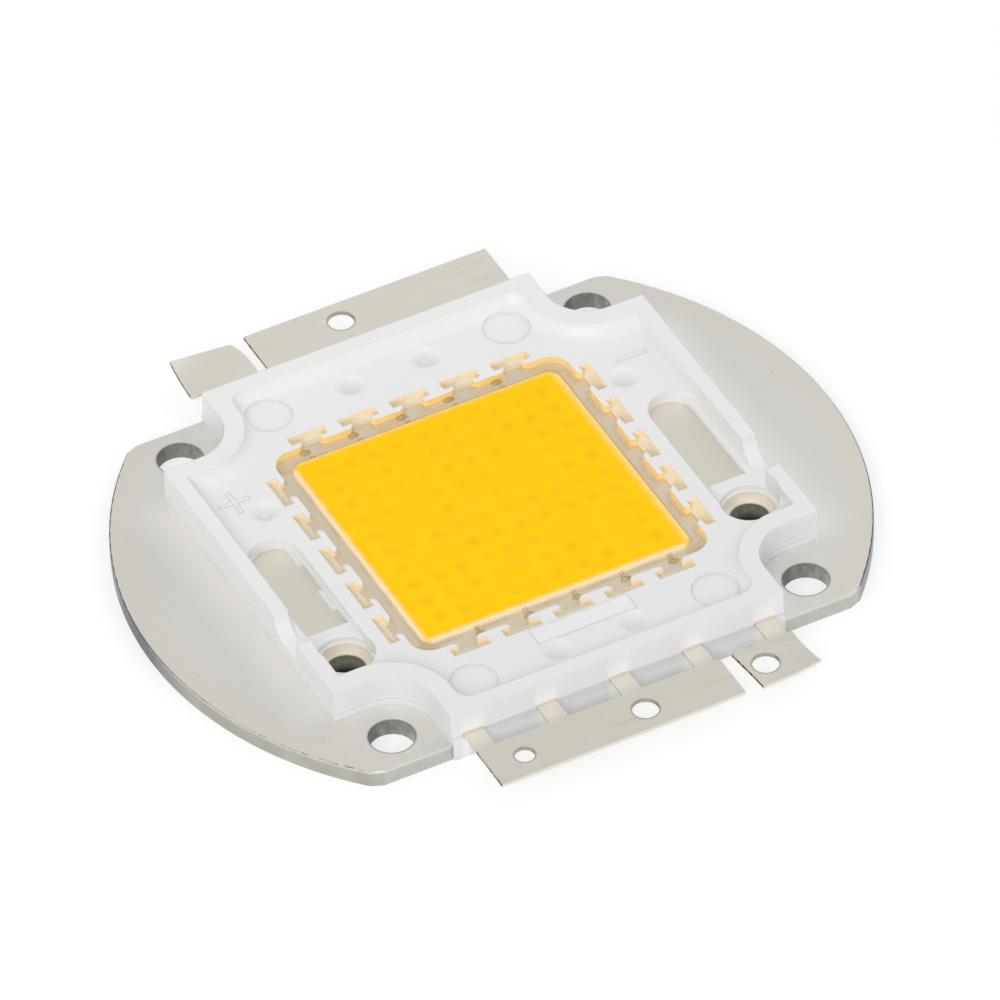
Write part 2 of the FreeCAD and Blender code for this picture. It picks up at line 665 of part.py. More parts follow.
tools += [lead_front, lead_back, rail_left, rail_right]
housing = cut("Housing", fuse("HousingSolid", [shell] + additions), fuse("HousingCuts", tools))
finish(housing, "housing")

# Chips: dice glued to the plate in ten columns of ten under the phosphor. One file
# for each column.

end_x = size(f"{PHOSPHOR_X} - chip_edge_x")
end_y = size(f"{PHOSPHOR_Y} - chip_edge_y")
column_x = [end_x * (2 * index / (CHIP_COLUMNS - 1) - 1) for index in range(CHIP_COLUMNS)]
row_y = [end_y * (2 * index / (CHIP_ROWS - 1) - 1) for index in range(CHIP_ROWS)]
chip_side = size("chip_side")
chip_height = size("chip_height")
chip_columns = []
for index, x in enumerate(column_x, start=1):
    chips = []
    for y in row_y:
        corner = FreeCAD.Vector(x - chip_side / 2, y - chip_side / 2, plate_top_level)
        chips.append(Part.makeBox(chip_side, chip_side, chip_height, corner))
    column = doc.addObject("Part::Feature", f"ChipColumn{index}")
    column.Shape = Part.makeCompound(chips)
    chip_columns.append(column)
    finish(column, f"chip_column_{index:02d}")

# Bond wires: each pair of columns is one string that zigzags from the back bus to the
# front bus, from chip to chip. The end links to the bus strips are doubled.

wire_thickness = size("wire_thickness")


def wire_link(start, end):
    """A thin square wire that arches over from one pad to the next in one upright plane."""
    across = FreeCAD.Vector(end.x - start.x, end.y - start.y, 0)
    span = across.Length
    across.normalize()
    loop = max(start.z, end.z) + size("wire_loop")
    rise = 0.25 * span
    top = loop + wire_thickness
    profile = [
        (0, start.z), (wire_thickness, start.z), (rise + wire_thickness / 2, loop), (span - rise, loop),
        (span - wire_thickness, end.z), (span, end.z), (span - rise + wire_thickness / 2, top), (rise, top),
    ]
    points = [FreeCAD.Vector(start.x, start.y, 0) + across * along_wire + FreeCAD.Vector(0, 0, height)
              for along_wire, height in profile]
    sideways = FreeCAD.Vector(-across.y, across.x, 0) * wire_thickness
    points = [point - sideways * 0.5 for point in points]
    return Part.Face(Part.makePolygon(points + points[:1])).extrude(sideways)


pad_place = chip_side / 2 - size("pad_inset")
chip_top_level = size(CHIP_TOP)
lead_top_level = size(LEAD_TOP)
bus_y = size(f"{BUS_OUTER} - bus_width / 2")
pair_step = size("wire_pair_gap") / 2
wire_strings = []
for number in range(CHIP_COLUMNS // 2):
    first, second = column_x[2 * number], column_x[2 * number + 1]
    links = []
    for shift in (-pair_step, pair_step):
        links.append(wire_link(FreeCAD.Vector(first + shift, bus_y, lead_top_level),
                               FreeCAD.Vector(first + shift, row_y[-1] + pad_place, chip_top_level)))
        links.append(wire_link(FreeCAD.Vector(second + shift, row_y[0] - pad_place, chip_top_level),
                               FreeCAD.Vector(second + shift, -bus_y, lead_top_level)))
    for y in row_y:
        links.append(wire_link(FreeCAD.Vector(first + pad_place, y, chip_top_level),
                               FreeCAD.Vector(second - pad_place, y, chip_top_level)))
    for low, high in zip(row_y[:-1], row_y[1:]):
        links.append(wire_link(FreeCAD.Vector(second - pad_place, high - pad_place, chip_top_level),
                               FreeCAD.Vector(first + pad_place, low + pad_place, chip_top_level)))
    string = doc.addObject("Part::Feature", f"WireString{number + 1}")
    string.Shape = Part.makeCompound(links)
    wire_strings.append(string)
    finish(string, f"bond_wires_{number + 1:02d}")

# Phosphor layer: yellow powder in silicone, poured over the chips inside the well.

phosphor = doc.addObject("PartDesign::Body", "PhosphorPour")
phosphor_sketch = new_sketch(phosphor, "PhosphorSketch", PLATE_TOP)
draw_centred(phosphor_sketch, PHOSPHOR_X, PHOSPHOR_Y)
pad(phosphor, phosphor_sketch, "Pour", f"{PHOSPHOR_TOP} - {PLATE_TOP}")
round_edges(phosphor, "PourCorners", "phosphor_round", is_upright)
phosphor_top_level = size(PHOSPHOR_TOP)
round_edges(phosphor, "PourEdge", "phosphor_edge_round",
            lambda edge: edge.BoundBox.ZMin > phosphor_top_level - 1e-4)

buried = doc.addObject("Part::Compound", "BuriedInPhosphor")
buried.Links = chip_columns + wire_strings
phosphor_layer = cut("PhosphorLayer", phosphor, buried)
phosphor_layer.Refine = False
finish(phosphor_layer, "phosphor_layer")

# Clear silicone: fills the rest of the opening and the T slots up to just under the floor.

pour = doc.addObject("PartDesign::Body", "ClearPour")
pour_sketch = new_sketch(pour, "PourSketch", LEAD_TOP)
draw_centred(pour_sketch, OPENING, OPENING)
pad(pour, pour_sketch, "Middle", f"{SILICONE_TOP} - {LEAD_TOP}")
round_edges(pour, "MiddleCorners", "opening_round", lambda edge: stands_at(edge, opening, opening))

slot_sketch, neck_sketch = draw_first_slot(pour)
slot_fill = pad(pour, slot_sketch, "SlotFill", f"{SILICONE_TOP} - {SLOT_FLOOR}")
neck_fill = pad(pour, neck_sketch, "NeckFill", f"{SILICONE_TOP} - {LEAD_TOP}")
repeat_slots(pour, [slot_fill, neck_fill], slot_sketch)
round_edges(pour, "ShoulderFill", "slot_round", is_shoulder)

above_phosphor = cut("AbovePhosphor", pour, phosphor)
wires = doc.addObject("Part::Compound", "Wires")
wires.Links = wire_strings
silicone = cut("ClearSilicone", above_phosphor, wires)
silicone.Refine = False
finish(silicone, "clear_silicone")

doc.recompute()

for item in doc.Objects:
    if "Invalid" in item.State or "Error" in item.State:
        raise RuntimeError(f"{item.Label} could not be built: {item.State}")

os.makedirs("parts", exist_ok=True)
for item in nodes:
    if item.Shape.isNull() or not item.Shape.isValid():
        raise RuntimeError(f"{item.Label} has no valid shape")
    item.Shape.exportStep(f"parts/{item.Label}.step")
    solids = item.Shape.Solids
    print(f"{item.Label}: {len(solids)} solid(s), {item.Shape.Volume:.2f} mm3")
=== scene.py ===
import math

import bmesh
import bpy
from mathutils import Matrix, Vector, noise


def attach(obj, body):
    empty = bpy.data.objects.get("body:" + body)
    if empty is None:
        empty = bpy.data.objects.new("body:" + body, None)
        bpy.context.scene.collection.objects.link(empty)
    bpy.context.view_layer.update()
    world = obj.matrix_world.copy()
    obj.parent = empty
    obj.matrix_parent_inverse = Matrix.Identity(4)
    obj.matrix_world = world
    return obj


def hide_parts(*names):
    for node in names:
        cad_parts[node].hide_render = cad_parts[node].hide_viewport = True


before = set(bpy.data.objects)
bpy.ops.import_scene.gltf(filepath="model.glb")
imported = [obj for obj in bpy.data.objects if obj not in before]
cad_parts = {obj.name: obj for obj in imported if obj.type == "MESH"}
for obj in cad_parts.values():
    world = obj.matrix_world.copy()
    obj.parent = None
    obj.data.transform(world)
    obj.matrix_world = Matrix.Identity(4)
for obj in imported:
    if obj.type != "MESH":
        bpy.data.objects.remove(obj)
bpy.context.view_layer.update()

# Camera: a long lens, from the front left and above, turned as in the photograph. It was
# solved from the picture with the plate at 70 mm. Camera, lamps and paper are placed in
# metres, and all that belongs to the part in millimetres.

AZIMUTH, ELEVATION, ROLL = (math.radians(angle) for angle in (-26.347, 42.535, 1.978))
DISTANCE = 1.269575
OFF_RIGHT, OFF_UP = 0.000761, 0.003028
SENSOR_WIDTH = 36
LENS_IN_SENSOR_WIDTHS = 13.862826

towards_camera = Vector((math.sin(AZIMUTH) * math.cos(ELEVATION),
                         -math.cos(AZIMUTH) * math.cos(ELEVATION),
                         math.sin(ELEVATION)))
level_right = Vector((math.cos(AZIMUTH), math.sin(AZIMUTH), 0))
level_up = towards_camera.cross(level_right)
right = level_right * math.cos(ROLL) - level_up * math.sin(ROLL)
up = level_up * math.cos(ROLL) + level_right * math.sin(ROLL)
camera_place = OFF_RIGHT * right + OFF_UP * up + DISTANCE * towards_camera

camera_data = bpy.data.cameras.new("camera")
camera_data.sensor_width = SENSOR_WIDTH
camera_data.lens = SENSOR_WIDTH * LENS_IN_SENSOR_WIDTHS
camera_data.clip_end = 20
camera = bpy.data.objects.new("camera", camera_data)
camera.matrix_world = Matrix((
    (right.x, up.x, towards_camera.x, camera_place.x),
    (right.y, up.y, towards_camera.y, camera_place.y),
    (right.z, up.z, towards_camera.z, camera_place.z),
    (0, 0, 0, 1)))
bpy.context.scene.collection.objects.link(camera)
bpy.context.scene.camera = camera
bpy.context.scene.view_settings.view_transform = "Standard"

# Studio: an even pale room, one large soft lamp at the front left, nearly as low as it is
# far, and a weak one at the right back. The white paper keeps a faint shadow, and carries
# painted shade where it lies under the two narrow lens holes.

ROOM_LIGHT = 0.72
LAMPS = (("soft_lamp_front", (-0.55, -0.72, 0.66), 0.6, 4.0),
         ("soft_lamp_back", (0.75, 0.35, 0.85), 0.7, 0.6))
PAPER_HALF = 3
PAPER_DROP = 2e-5
PAPER_GLOW = 0.63
LENS_PLACE = (20.75, -11.35)
LENS_HOLE_RADIUS = 1.8


def colour(code):
    """An sRGB colour code as the linear values that shaders take."""
    channels = [int(code[start:start + 2], 16) / 255 for start in (1, 3, 5)]
    return [c / 12.92 if c <= 0.04045 else ((c + 0.055) / 1.055) ** 2.4 for c in channels] + [1]


def add_node(tree, kind, sockets=None, **settings):
    """Adds a shader node with its settings. Each input is linked to the first output of
    another node or to the socket given, or is set to a number or a colour code."""
    node = tree.nodes.new("ShaderNode" + kind)
    for name, value in settings.items():
        setattr(node, name, value)
    for key, value in (sockets or {}).items():
        if isinstance(value, bpy.types.Node):
            value = value.outputs[0]
        if isinstance(value, bpy.types.NodeSocket):
            tree.links.new(value, node.inputs[key])
        else:
            node.inputs[key].default_value = colour(value) if isinstance(value, str) else value
    return node


def measured(tree):
    """The texture coordinates, and the place on the object in millimetres. The scale of a
    pattern laid over it is one over the pattern's size."""
    where = add_node(tree, "TexCoord")
    return where, add_node(tree, "VectorMath", {0: where.outputs["Object"], "Scale": 1000}, operation="SCALE")


def per_axis(tree, place):
    """The place axis by axis, with its sign and without, as the part is much alike on both sides."""
    mirrored = add_node(tree, "VectorMath", {0: place}, operation="ABSOLUTE")
    return add_node(tree, "SeparateXYZ", {0: place}), add_node(tree, "SeparateXYZ", {0: mirrored})


def level_distance(tree, x, y, middle):
    """How far the surface is from the middle of a hole or mark, seen from above."""
    flat = add_node(tree, "CombineXYZ", {"X": x, "Y": y})
    return add_node(tree, "VectorMath", {0: flat, 1: (*middle, 0)}, operation="DISTANCE").outputs["Value"]


room = bpy.data.worlds.new("pale_room")
room.use_nodes = True
tree = room.node_tree
tree.nodes.clear()
light = add_node(tree, "Background", {"Color": "#FFFFFF", "Strength": ROOM_LIGHT})
add_node(tree, "OutputWorld", {"Surface": light})
bpy.context.scene.world = room

for name, place, width, power in LAMPS:
    lamp_data = bpy.data.lights.new(name, "AREA")
    lamp_data.shape = "DISK"
    lamp_data.size = width
    lamp_data.energy = power
    lamp = bpy.data.objects.new(name, lamp_data)
    lamp.location = place
    lamp.rotation_euler = Vector(place).to_track_quat("Z", "Y").to_euler()
    bpy.context.scene.collection.objects.link(lamp)

floor_mesh = bpy.data.meshes.new("floor")
floor_mesh.from_pydata([(x * PAPER_HALF, y * PAPER_HALF, -PAPER_DROP)
                        for x, y in ((-1, -1), (1, -1), (1, 1), (-1, 1))], [], [(0, 1, 2, 3)])
floor = bpy.data.objects.new("floor", floor_mesh)
bpy.context.scene.collection.objects.link(floor)

# White paper is matt. Where it is seen it is lifted to white, and its shadows stay.

paper = bpy.data.materials.new("white_paper")
paper.use_nodes = True
tree = paper.node_tree
tree.nodes.clear()
ray = add_node(tree, "LightPath")
seen = add_node(tree, "Math", {0: ray.outputs["Is Camera Ray"], 1: ray.outputs["Is Glossy Ray"]}, operation="MAXIMUM")
shown = add_node(tree, "Math", {0: seen, 1: ray.outputs["Is Transmission Ray"]}, operation="MAXIMUM")
tint = add_node(tree, "MixRGB", {"Fac": shown, "Color1": "#F6F6F6", "Color2": "#AEAEAE"})
_, place = measured(tree)
whole, part = per_axis(tree, place)
# Painted shade: under the two lens holes the paper is dark, and it is not lifted there.
from_lens = level_distance(tree, part.outputs["X"], whole.outputs["Y"], LENS_PLACE)
lit = add_node(tree, "MapRange", {"Value": from_lens, "From Min": LENS_HOLE_RADIUS + 0.1,
                                  "From Max": LENS_HOLE_RADIUS + 0.5})
painted_lens_shade = add_node(tree, "MixRGB", {"Fac": lit, "Color1": "#454543", "Color2": tint})
matt = add_node(tree, "BsdfDiffuse", {"Color": painted_lens_shade})
shown_lit = add_node(tree, "Math", {0: shown, 1: lit}, operation="MULTIPLY")
lift = add_node(tree, "Math", {0: shown_lit, 1: PAPER_GLOW}, operation="MULTIPLY")
glow = add_node(tree, "Emission", {"Strength": lift})
both = add_node(tree, "AddShader", {0: matt, 1: glow})
add_node(tree, "OutputMaterial", {"Surface": both})
floor_mesh.materials.append(paper)

# Base plate: copper sheet, blanked to a disc with two flats, drilled, and plated with satin
# nickel. The housing is moulded on it, and four screws clamp it to its heat sink.

PLATE_RADIUS = 35
PLATE_FLAT = 24.9
PLATE_TOP = 1.75
SCREW_PLACE = (21.21, 21.21)
SCREW_HOLE_RADIUS = 2.15
HOUSING_END = 24.85
SATIN, WORN = 0.34, 0.62


def start_material(name, metallic, roughness):
    """A material with its shader, its texture coordinates and its place in millimetres."""
    material = bpy.data.materials.new(name)
    material.use_nodes = True
    tree = material.node_tree
    shader = tree.nodes["Principled BSDF"]
    shader.inputs["Metallic"].default_value = metallic
    shader.inputs["Roughness"].default_value = roughness
    return material, tree, shader, *measured(tree)


def dress(names, material):
    """Gives nodes of the frame their material."""
    for name in names:
        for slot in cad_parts[name].material_slots:
            slot.material = material


# Satin nickel gives a soft, slightly warm white, in clouds 11 mm across and with small pits.
# Its grain is really about 0.02 mm and is drawn ten times as coarse, so that it shows. Here
# and below, a mask runs from where it is nothing, From Min, to where it is full, From Max.

nickel, tree, shader, where, place = start_material("satin_nickel_plating", 1, SATIN)
whole, part = per_axis(tree, place)
cloud = add_node(tree, "TexNoise", {"Vector": place, "Scale": 1 / 11.1, "Detail": 3})
tone = add_node(tree, "MixRGB", {"Fac": cloud, "Color1": "#E9E6DF", "Color2": "#EFEDE7"})
grain = add_node(tree, "TexNoise", {"Vector": place, "Scale": 1 / 0.2, "Detail": 4, "Roughness": 0.7})
grain_level = add_node(tree, "MapRange", {"Value": grain, "From Min": 0.3, "From Max": 0.7,
                                          "To Min": 0.955, "To Max": 1.03})
grained = add_node(tree, "MixRGB", {"Fac": 1.0, "Color1": tone, "Color2": grain_level}, blend_type="MULTIPLY")
pit = add_node(tree, "TexVoronoi", {"Vector": place, "Scale": 1 / 2.38, "Randomness": 1.0})
pit_mask = add_node(tree, "MapRange", {"Value": pit, "From Min": 0.05, "From Max": 0.02, "To Max": 0.45})
pitted = add_node(tree, "MixRGB", {"Fac": pit_mask, "Color1": grained, "Color2": "#A09C94"})

# Painted light from the white housing lies on the plate beside its windows and around the
# screw holes, and the outermost rim is a little yellow.

beside_x = add_node(tree, "MapRange", {"Value": part.outputs["X"], "From Min": HOUSING_END + 4.65,
                                       "From Max": HOUSING_END + 0.35, "To Max": 0.85},
                    interpolation_type="SMOOTHSTEP")
beside_y = add_node(tree, "MapRange", {"Value": part.outputs["Y"], "From Min": 18.5, "From Max": 14.5},
                    interpolation_type="SMOOTHSTEP")
beside_window = add_node(tree, "Math", {0: beside_x, 1: beside_y}, operation="MULTIPLY")
from_screw = level_distance(tree, part.outputs["X"], part.outputs["Y"], SCREW_PLACE)
off_screw = add_node(tree, "MapRange", {"Value": from_screw, "From Min": SCREW_HOLE_RADIUS + 0.25,
                                        "From Max": SCREW_HOLE_RADIUS + 2.05, "To Max": 0.45},
                     interpolation_type="SMOOTHSTEP")
diagonal = add_node(tree, "Math", {0: part.outputs["X"], 1: part.outputs["Y"]}, operation="ADD")
inner_half = add_node(tree, "MapRange", {"Value": diagonal, "From Min": sum(SCREW_PLACE) + 1.08,
                                         "From Max": sum(SCREW_PLACE) - 1.92})
farther = add_node(tree, "Math", {0: part.outputs["X"], 1: part.outputs["Y"]}, operation="MAXIMUM")
inside_square = add_node(tree, "MapRange", {"Value": farther, "From Min": HOUSING_END + 0.35,
                                            "From Max": HOUSING_END - 1.65}, interpolation_type="SMOOTHSTEP")
near_corner = add_node(tree, "Math", {0: inner_half, 1: inside_square}, operation="MULTIPLY")
beside_corner = add_node(tree, "Math", {0: off_screw, 1: near_corner}, operation="MULTIPLY")
# Painted light from the housing, beside the windows and the screw corners.
painted_housing_light = add_node(tree, "Math", {0: beside_window, 1: beside_corner}, operation="MAXIMUM")
lit_face = add_node(tree, "MixRGB", {"Fac": painted_housing_light, "Color1": pitted, "Color2": "#FFFCF8"})
from_centre = add_node(tree, "VectorMath", {0: place}, operation="LENGTH").outputs["Value"]
near_rim = add_node(tree, "MapRange", {"Value": from_centre, "From Min": PLATE_RADIUS - 3.5,
                                       "From Max": PLATE_RADIUS - 0.2, "To Max": 0.2})
face = add_node(tree, "MixRGB", {"Fac": near_rim, "Color1": lit_face, "Color2": "#EFE2CF"})

# The round side and its top edge carry a painted reflection, dark where they face left,
# with a darker patch, and pale where they face the front left, and a painted highlight runs
# along the top of the side at the front left and on the flats. The flats were sheared, and
# are streaky, with a pale painted reflection.

facing = add_node(tree, "SeparateXYZ", {0: where.outputs["Normal"]})
level = add_node(tree, "Math", {0: facing.outputs["Z"]}, operation="ABSOLUTE")
edge_mask = add_node(tree, "MapRange", {"Value": level, "From Min": 0.97, "From Max": 0.80})
side_mask = add_node(tree, "MapRange", {"Value": level, "From Min": 0.45, "From Max": 0.15})
flat_mask = add_node(tree, "MapRange", {"Value": part.outputs["Y"], "From Min": PLATE_FLAT - 0.7,
                                        "From Max": PLATE_FLAT - 0.3})
to_front = add_node(tree, "MapRange", {"Value": facing.outputs["Y"], "From Min": 0.02, "From Max": -0.28})
to_left = add_node(tree, "MapRange", {"Value": facing.outputs["X"], "From Min": 0.0, "From Max": -0.3})
front_left = add_node(tree, "Math", {0: to_front, 1: to_left}, operation="MULTIPLY")
# Painted reflection on the round side: dark to the left, pale to the front left.
round_side_noise = add_node(tree, "TexNoise", {"Vector": place, "Scale": 1 / 2.86, "Detail": 3})
round_dark_reflection = add_node(tree, "MixRGB", {"Fac": round_side_noise, "Color1": "#6B7276", "Color2": "#A6ABAC"})
round_pale_reflection = add_node(tree, "MixRGB", {"Fac": round_side_noise, "Color1": "#A9A8A0", "Color2": "#CFCDC4"})
round_side_reflection = add_node(tree, "MixRGB", {"Fac": front_left, "Color1": round_dark_reflection, "Color2": round_pale_reflection})
off_dark = add_node(tree, "Math", {0: facing.outputs["Y"], 1: 0.12}, operation="SUBTRACT")
dark_gap = add_node(tree, "Math", {0: off_dark}, operation="ABSOLUTE")
dark_reflection_patch = add_node(tree, "MapRange", {"Value": dark_gap, "From Min": 0.22, "From Max": 0.06, "To Max": 0.85})
dark_reflection_left = add_node(tree, "Math", {0: dark_reflection_patch, 1: to_left}, operation="MULTIPLY")
shaded_side = add_node(tree, "MixRGB", {"Fac": dark_reflection_left, "Color1": round_side_reflection, "Color2": "#4C5051"})
shear_mark = add_node(tree, "TexNoise", {"Vector": place, "Scale": 1 / 0.909, "Detail": 4, "Roughness": 0.65})
flat_side = add_node(tree, "MixRGB", {"Fac": shear_mark, "Color1": "#B0B1AA", "Color2": "#CFCFC8"})
side = add_node(tree, "MixRGB", {"Fac": flat_mask, "Color1": shaded_side, "Color2": flat_side})
# A painted highlight along the top of the side, at the front left and on the flats.
top_highlight = add_node(tree, "MapRange", {"Value": whole.outputs["Z"], "From Min": PLATE_TOP - 0.35,
                                  "From Max": PLATE_TOP - 0.2, "To Max": 0.9})
in_front = add_node(tree, "Math", {0: front_left, 1: flat_mask}, operation="MAXIMUM")
top_highlight_mask = add_node(tree, "Math", {0: top_highlight, 1: in_front}, operation="MULTIPLY")
highlighted_side = add_node(tree, "MixRGB", {"Fac": top_highlight_mask, "Color1": side, "Color2": "#DFDBD1"})
nick = add_node(tree, "TexNoise", {"Vector": place, "Scale": 1 / 0.714, "Detail": 4, "Roughness": 0.8})
nick_mask = add_node(tree, "MapRange", {"Value": nick, "From Min": 0.5, "From Max": 0.62, "To Max": 0.6})
nicked = add_node(tree, "MixRGB", {"Fac": nick_mask, "Color1": "#CBC6BB", "Color2": "#928C80"})
# The top edge: a painted dark reflection, pale with its nicks where it faces the front left.
round_edge_reflection = add_node(tree, "MixRGB", {"Fac": front_left, "Color1": "#5C6062", "Color2": nicked})
edge = add_node(tree, "MixRGB", {"Fac": flat_mask, "Color1": round_edge_reflection, "Color2": "#ECEAE3"})
edged = add_node(tree, "MixRGB", {"Fac": edge_mask, "Color1": face, "Color2": edge})
sided = add_node(tree, "MixRGB", {"Fac": side_mask, "Color1": edged, "Color2": highlighted_side})

# The holes were drilled, so their rims are brown from the burr and their walls are scored, with painted shade where
# they face right and painted light where they face left.
# The lens holes are bare and oxidised inside, with a painted glow that grows towards the top, and painted light from
# the pale seat above lies on their rims.

past_screw_hole = add_node(tree, "Math", {0: from_screw, 1: SCREW_HOLE_RADIUS}, operation="SUBTRACT")
from_lens = level_distance(tree, part.outputs["X"], whole.outputs["Y"], LENS_PLACE)
past_lens_hole = add_node(tree, "Math", {0: from_lens, 1: LENS_HOLE_RADIUS}, operation="SUBTRACT")
past_hole = add_node(tree, "Math", {0: past_screw_hole, 1: past_lens_hole}, operation="MINIMUM")
# Painted light from the pale seat on the lens holes' rims.
painted_seat_light = add_node(tree, "MapRange", {"Value": past_lens_hole, "From Min": 0.95, "From Max": 0.75})
seat_lit = add_node(tree, "MixRGB", {"Fac": painted_seat_light, "Color1": sided, "Color2": "#FFFBF0"})
burr = add_node(tree, "MapRange", {"Value": past_hole, "From Min": 0.22, "From Max": 0.06, "To Max": 0.55})
burred = add_node(tree, "MixRGB", {"Fac": burr, "Color1": seat_lit, "Color2": "#9C8F80"})
scoring = add_node(tree, "VectorMath", {0: place, 1: (1, 1, 0.5)}, operation="MULTIPLY")
score = add_node(tree, "TexNoise", {"Vector": scoring, "Scale": 1 / 0.556, "Detail": 4, "Roughness": 0.7})
# Painted shade on the hole walls that face right, painted light on those that face left.
painted_lit_side = add_node(tree, "MapRange", {"Value": facing.outputs["X"], "From Min": 0.8, "From Max": -0.8})
scored_and_lit = add_node(tree, "Math", {0: score, 1: painted_lit_side}, operation="MULTIPLY")
screw_wall = add_node(tree, "MixRGB", {"Fac": scored_and_lit, "Color1": "#504F4B", "Color2": "#DFDED6"})
mottle = add_node(tree, "TexNoise", {"Vector": place, "Scale": 1 / 0.455, "Detail": 4, "Roughness": 0.7})
oxide = add_node(tree, "MixRGB", {"Fac": mottle, "Color1": "#3C3C36", "Color2": "#7B7B70"})
in_hole = add_node(tree, "Math", {0: past_hole, 1: 0.04}, operation="LESS_THAN")
in_lens_hole = add_node(tree, "Math", {0: past_lens_hole, 1: 0.04}, operation="LESS_THAN")
hole_wall = add_node(tree, "MixRGB", {"Fac": in_lens_hole, "Color1": screw_wall, "Color2": oxide})
plated = add_node(tree, "MixRGB", {"Fac": in_hole, "Color1": burred, "Color2": hole_wall})
tree.links.new(plated.outputs[0], shader.inputs["Base Color"])
# Painted light: the lens holes' walls glow, more towards the top.
bore_depth = add_node(tree, "MapRange", {"Value": whole.outputs["Z"], "From Min": 0.1, "From Max": 0.9,
                                         "To Min": 0.2, "To Max": 0.85})
lens_wall = add_node(tree, "Math", {0: in_lens_hole, 1: side_mask}, operation="MULTIPLY")
painted_wall_glow = add_node(tree, "Math", {0: lens_wall, 1: bore_depth}, operation="MULTIPLY")
tree.links.new(oxide.outputs[0], shader.inputs["Emission Color"])
tree.links.new(painted_wall_glow.outputs[0], shader.inputs["Emission Strength"])

nicked_edge = add_node(tree, "Math", {0: edge_mask, 1: front_left}, operation="MULTIPLY")
worn_roughness = add_node(tree, "MapRange", {"Value": nicked_edge, "To Min": SATIN, "To Max": WORN})
tree.links.new(worn_roughness.outputs[0], shader.inputs["Roughness"])
ripple = add_node(tree, "TexNoise", {"Vector": place, "Scale": 1 / 0.625, "Detail": 2})
bump = add_node(tree, "Bump", {"Height": ripple, "Strength": 0.05, "Distance": 0.2 / 1000})
tree.links.new(bump.outputs[0], shader.inputs["Normal"])
dress(["base_plate"], nickel)

# Lead frame: copper alloy strip, rolled, stamped and plated, and held by the housing that is
# moulded over it. The legs and tabs stand out at both ends, and the side pieces lie in the
# windows.

TAB_START = 27.4
TAB_LENGTH = 5.05
TAB_HOLES = ((0, -30, 1.25), (12.3, -30, 1.25), (-12.3, -30, 0.95), (0, 30, 1.25))
WINDOW_START = 18
WINDOW_END = 16
WELL_END = 17

# Plated strip is a little warmer than the plate, with rolling streaks 10 mm long and 2 mm
# wide. Its fine grain is drawn at 0.17 mm, some eight times too coarse, so that it shows.

strip, tree, shader, where, place = start_material("plated_strip", 1, 0.38)
whole, part = per_axis(tree, place)
along_strip = add_node(tree, "VectorMath", {0: place, 1: (1 / 10, 1 / 1.82, 1)}, operation="MULTIPLY")
streak = add_node(tree, "TexNoise", {"Vector": along_strip, "Scale": 1, "Detail": 4, "Distortion": 0.8})
streak_mask = add_node(tree, "MapRange", {"Value": streak, "From Min": 0.52, "From Max": 0.72, "To Max": 0.3})
to_back = add_node(tree, "MapRange", {"Value": whole.outputs["Y"], "From Min": -10, "From Max": 10})
plating = add_node(tree, "MixRGB", {"Fac": to_back, "Color1": "#E6E2D8", "Color2": "#F1ECE2"})
streaked = add_node(tree, "MixRGB", {"Fac": streak_mask, "Color1": plating, "Color2": "#DCCDB0"})

# Painted light from the housing lies on the legs, and the housing leaves a brownish line
# where they come out of it. In the windows and in the well the strip carries a painted
# reflection of the walls around it.

# Painted light from the housing on the legs, near the wall.
painted_leg_light = add_node(tree, "MapRange", {"Value": part.outputs["Y"], "From Min": TAB_START + 0.2,
                                       "From Max": TAB_START - 1.2, "To Max": 0.65},
                    interpolation_type="SMOOTHSTEP")
legs_lit = add_node(tree, "MixRGB", {"Fac": painted_leg_light, "Color1": streaked, "Color2": "#FAF3E9"})
root_mask = add_node(tree, "MapRange", {"Value": part.outputs["Y"], "From Min": HOUSING_END + 0.5,
                                        "From Max": HOUSING_END + 0.25, "To Max": 0.35})
rooted = add_node(tree, "MixRGB", {"Fac": root_mask, "Color1": legs_lit, "Color2": "#DDBBA6"})
past_well = add_node(tree, "Math", {0: part.outputs["X"], 1: WINDOW_START}, operation="GREATER_THAN")
off_tabs = add_node(tree, "Math", {0: part.outputs["Y"], 1: WINDOW_END}, operation="LESS_THAN")
in_window = add_node(tree, "Math", {0: past_well, 1: off_tabs}, operation="MULTIPLY")
# Painted reflection of the walls, in the windows and in the well.
window_light = add_node(tree, "MapRange", {"Value": whole.outputs["Y"], "From Min": 1.2, "From Max": 5.4})
window_reflection = add_node(tree, "MixRGB", {"Fac": window_light, "Color1": "#EBE7DA", "Color2": "#F4ECDF"})
with_window_reflection = add_node(tree, "MixRGB", {"Fac": in_window, "Color1": rooted, "Color2": window_reflection})
reach = add_node(tree, "Math", {0: part.outputs["X"], 1: part.outputs["Y"]}, operation="MAXIMUM")
in_well = add_node(tree, "Math", {0: reach, 1: WELL_END}, operation="LESS_THAN")
with_well_reflection = add_node(tree, "MixRGB", {"Fac": in_well, "Color1": with_window_reflection, "Color2": "#E8DFD0"})

# The ends of the tabs were cut off after plating, so their edges are bare, brown and stained.
# The rims of the tabs' holes are dark.

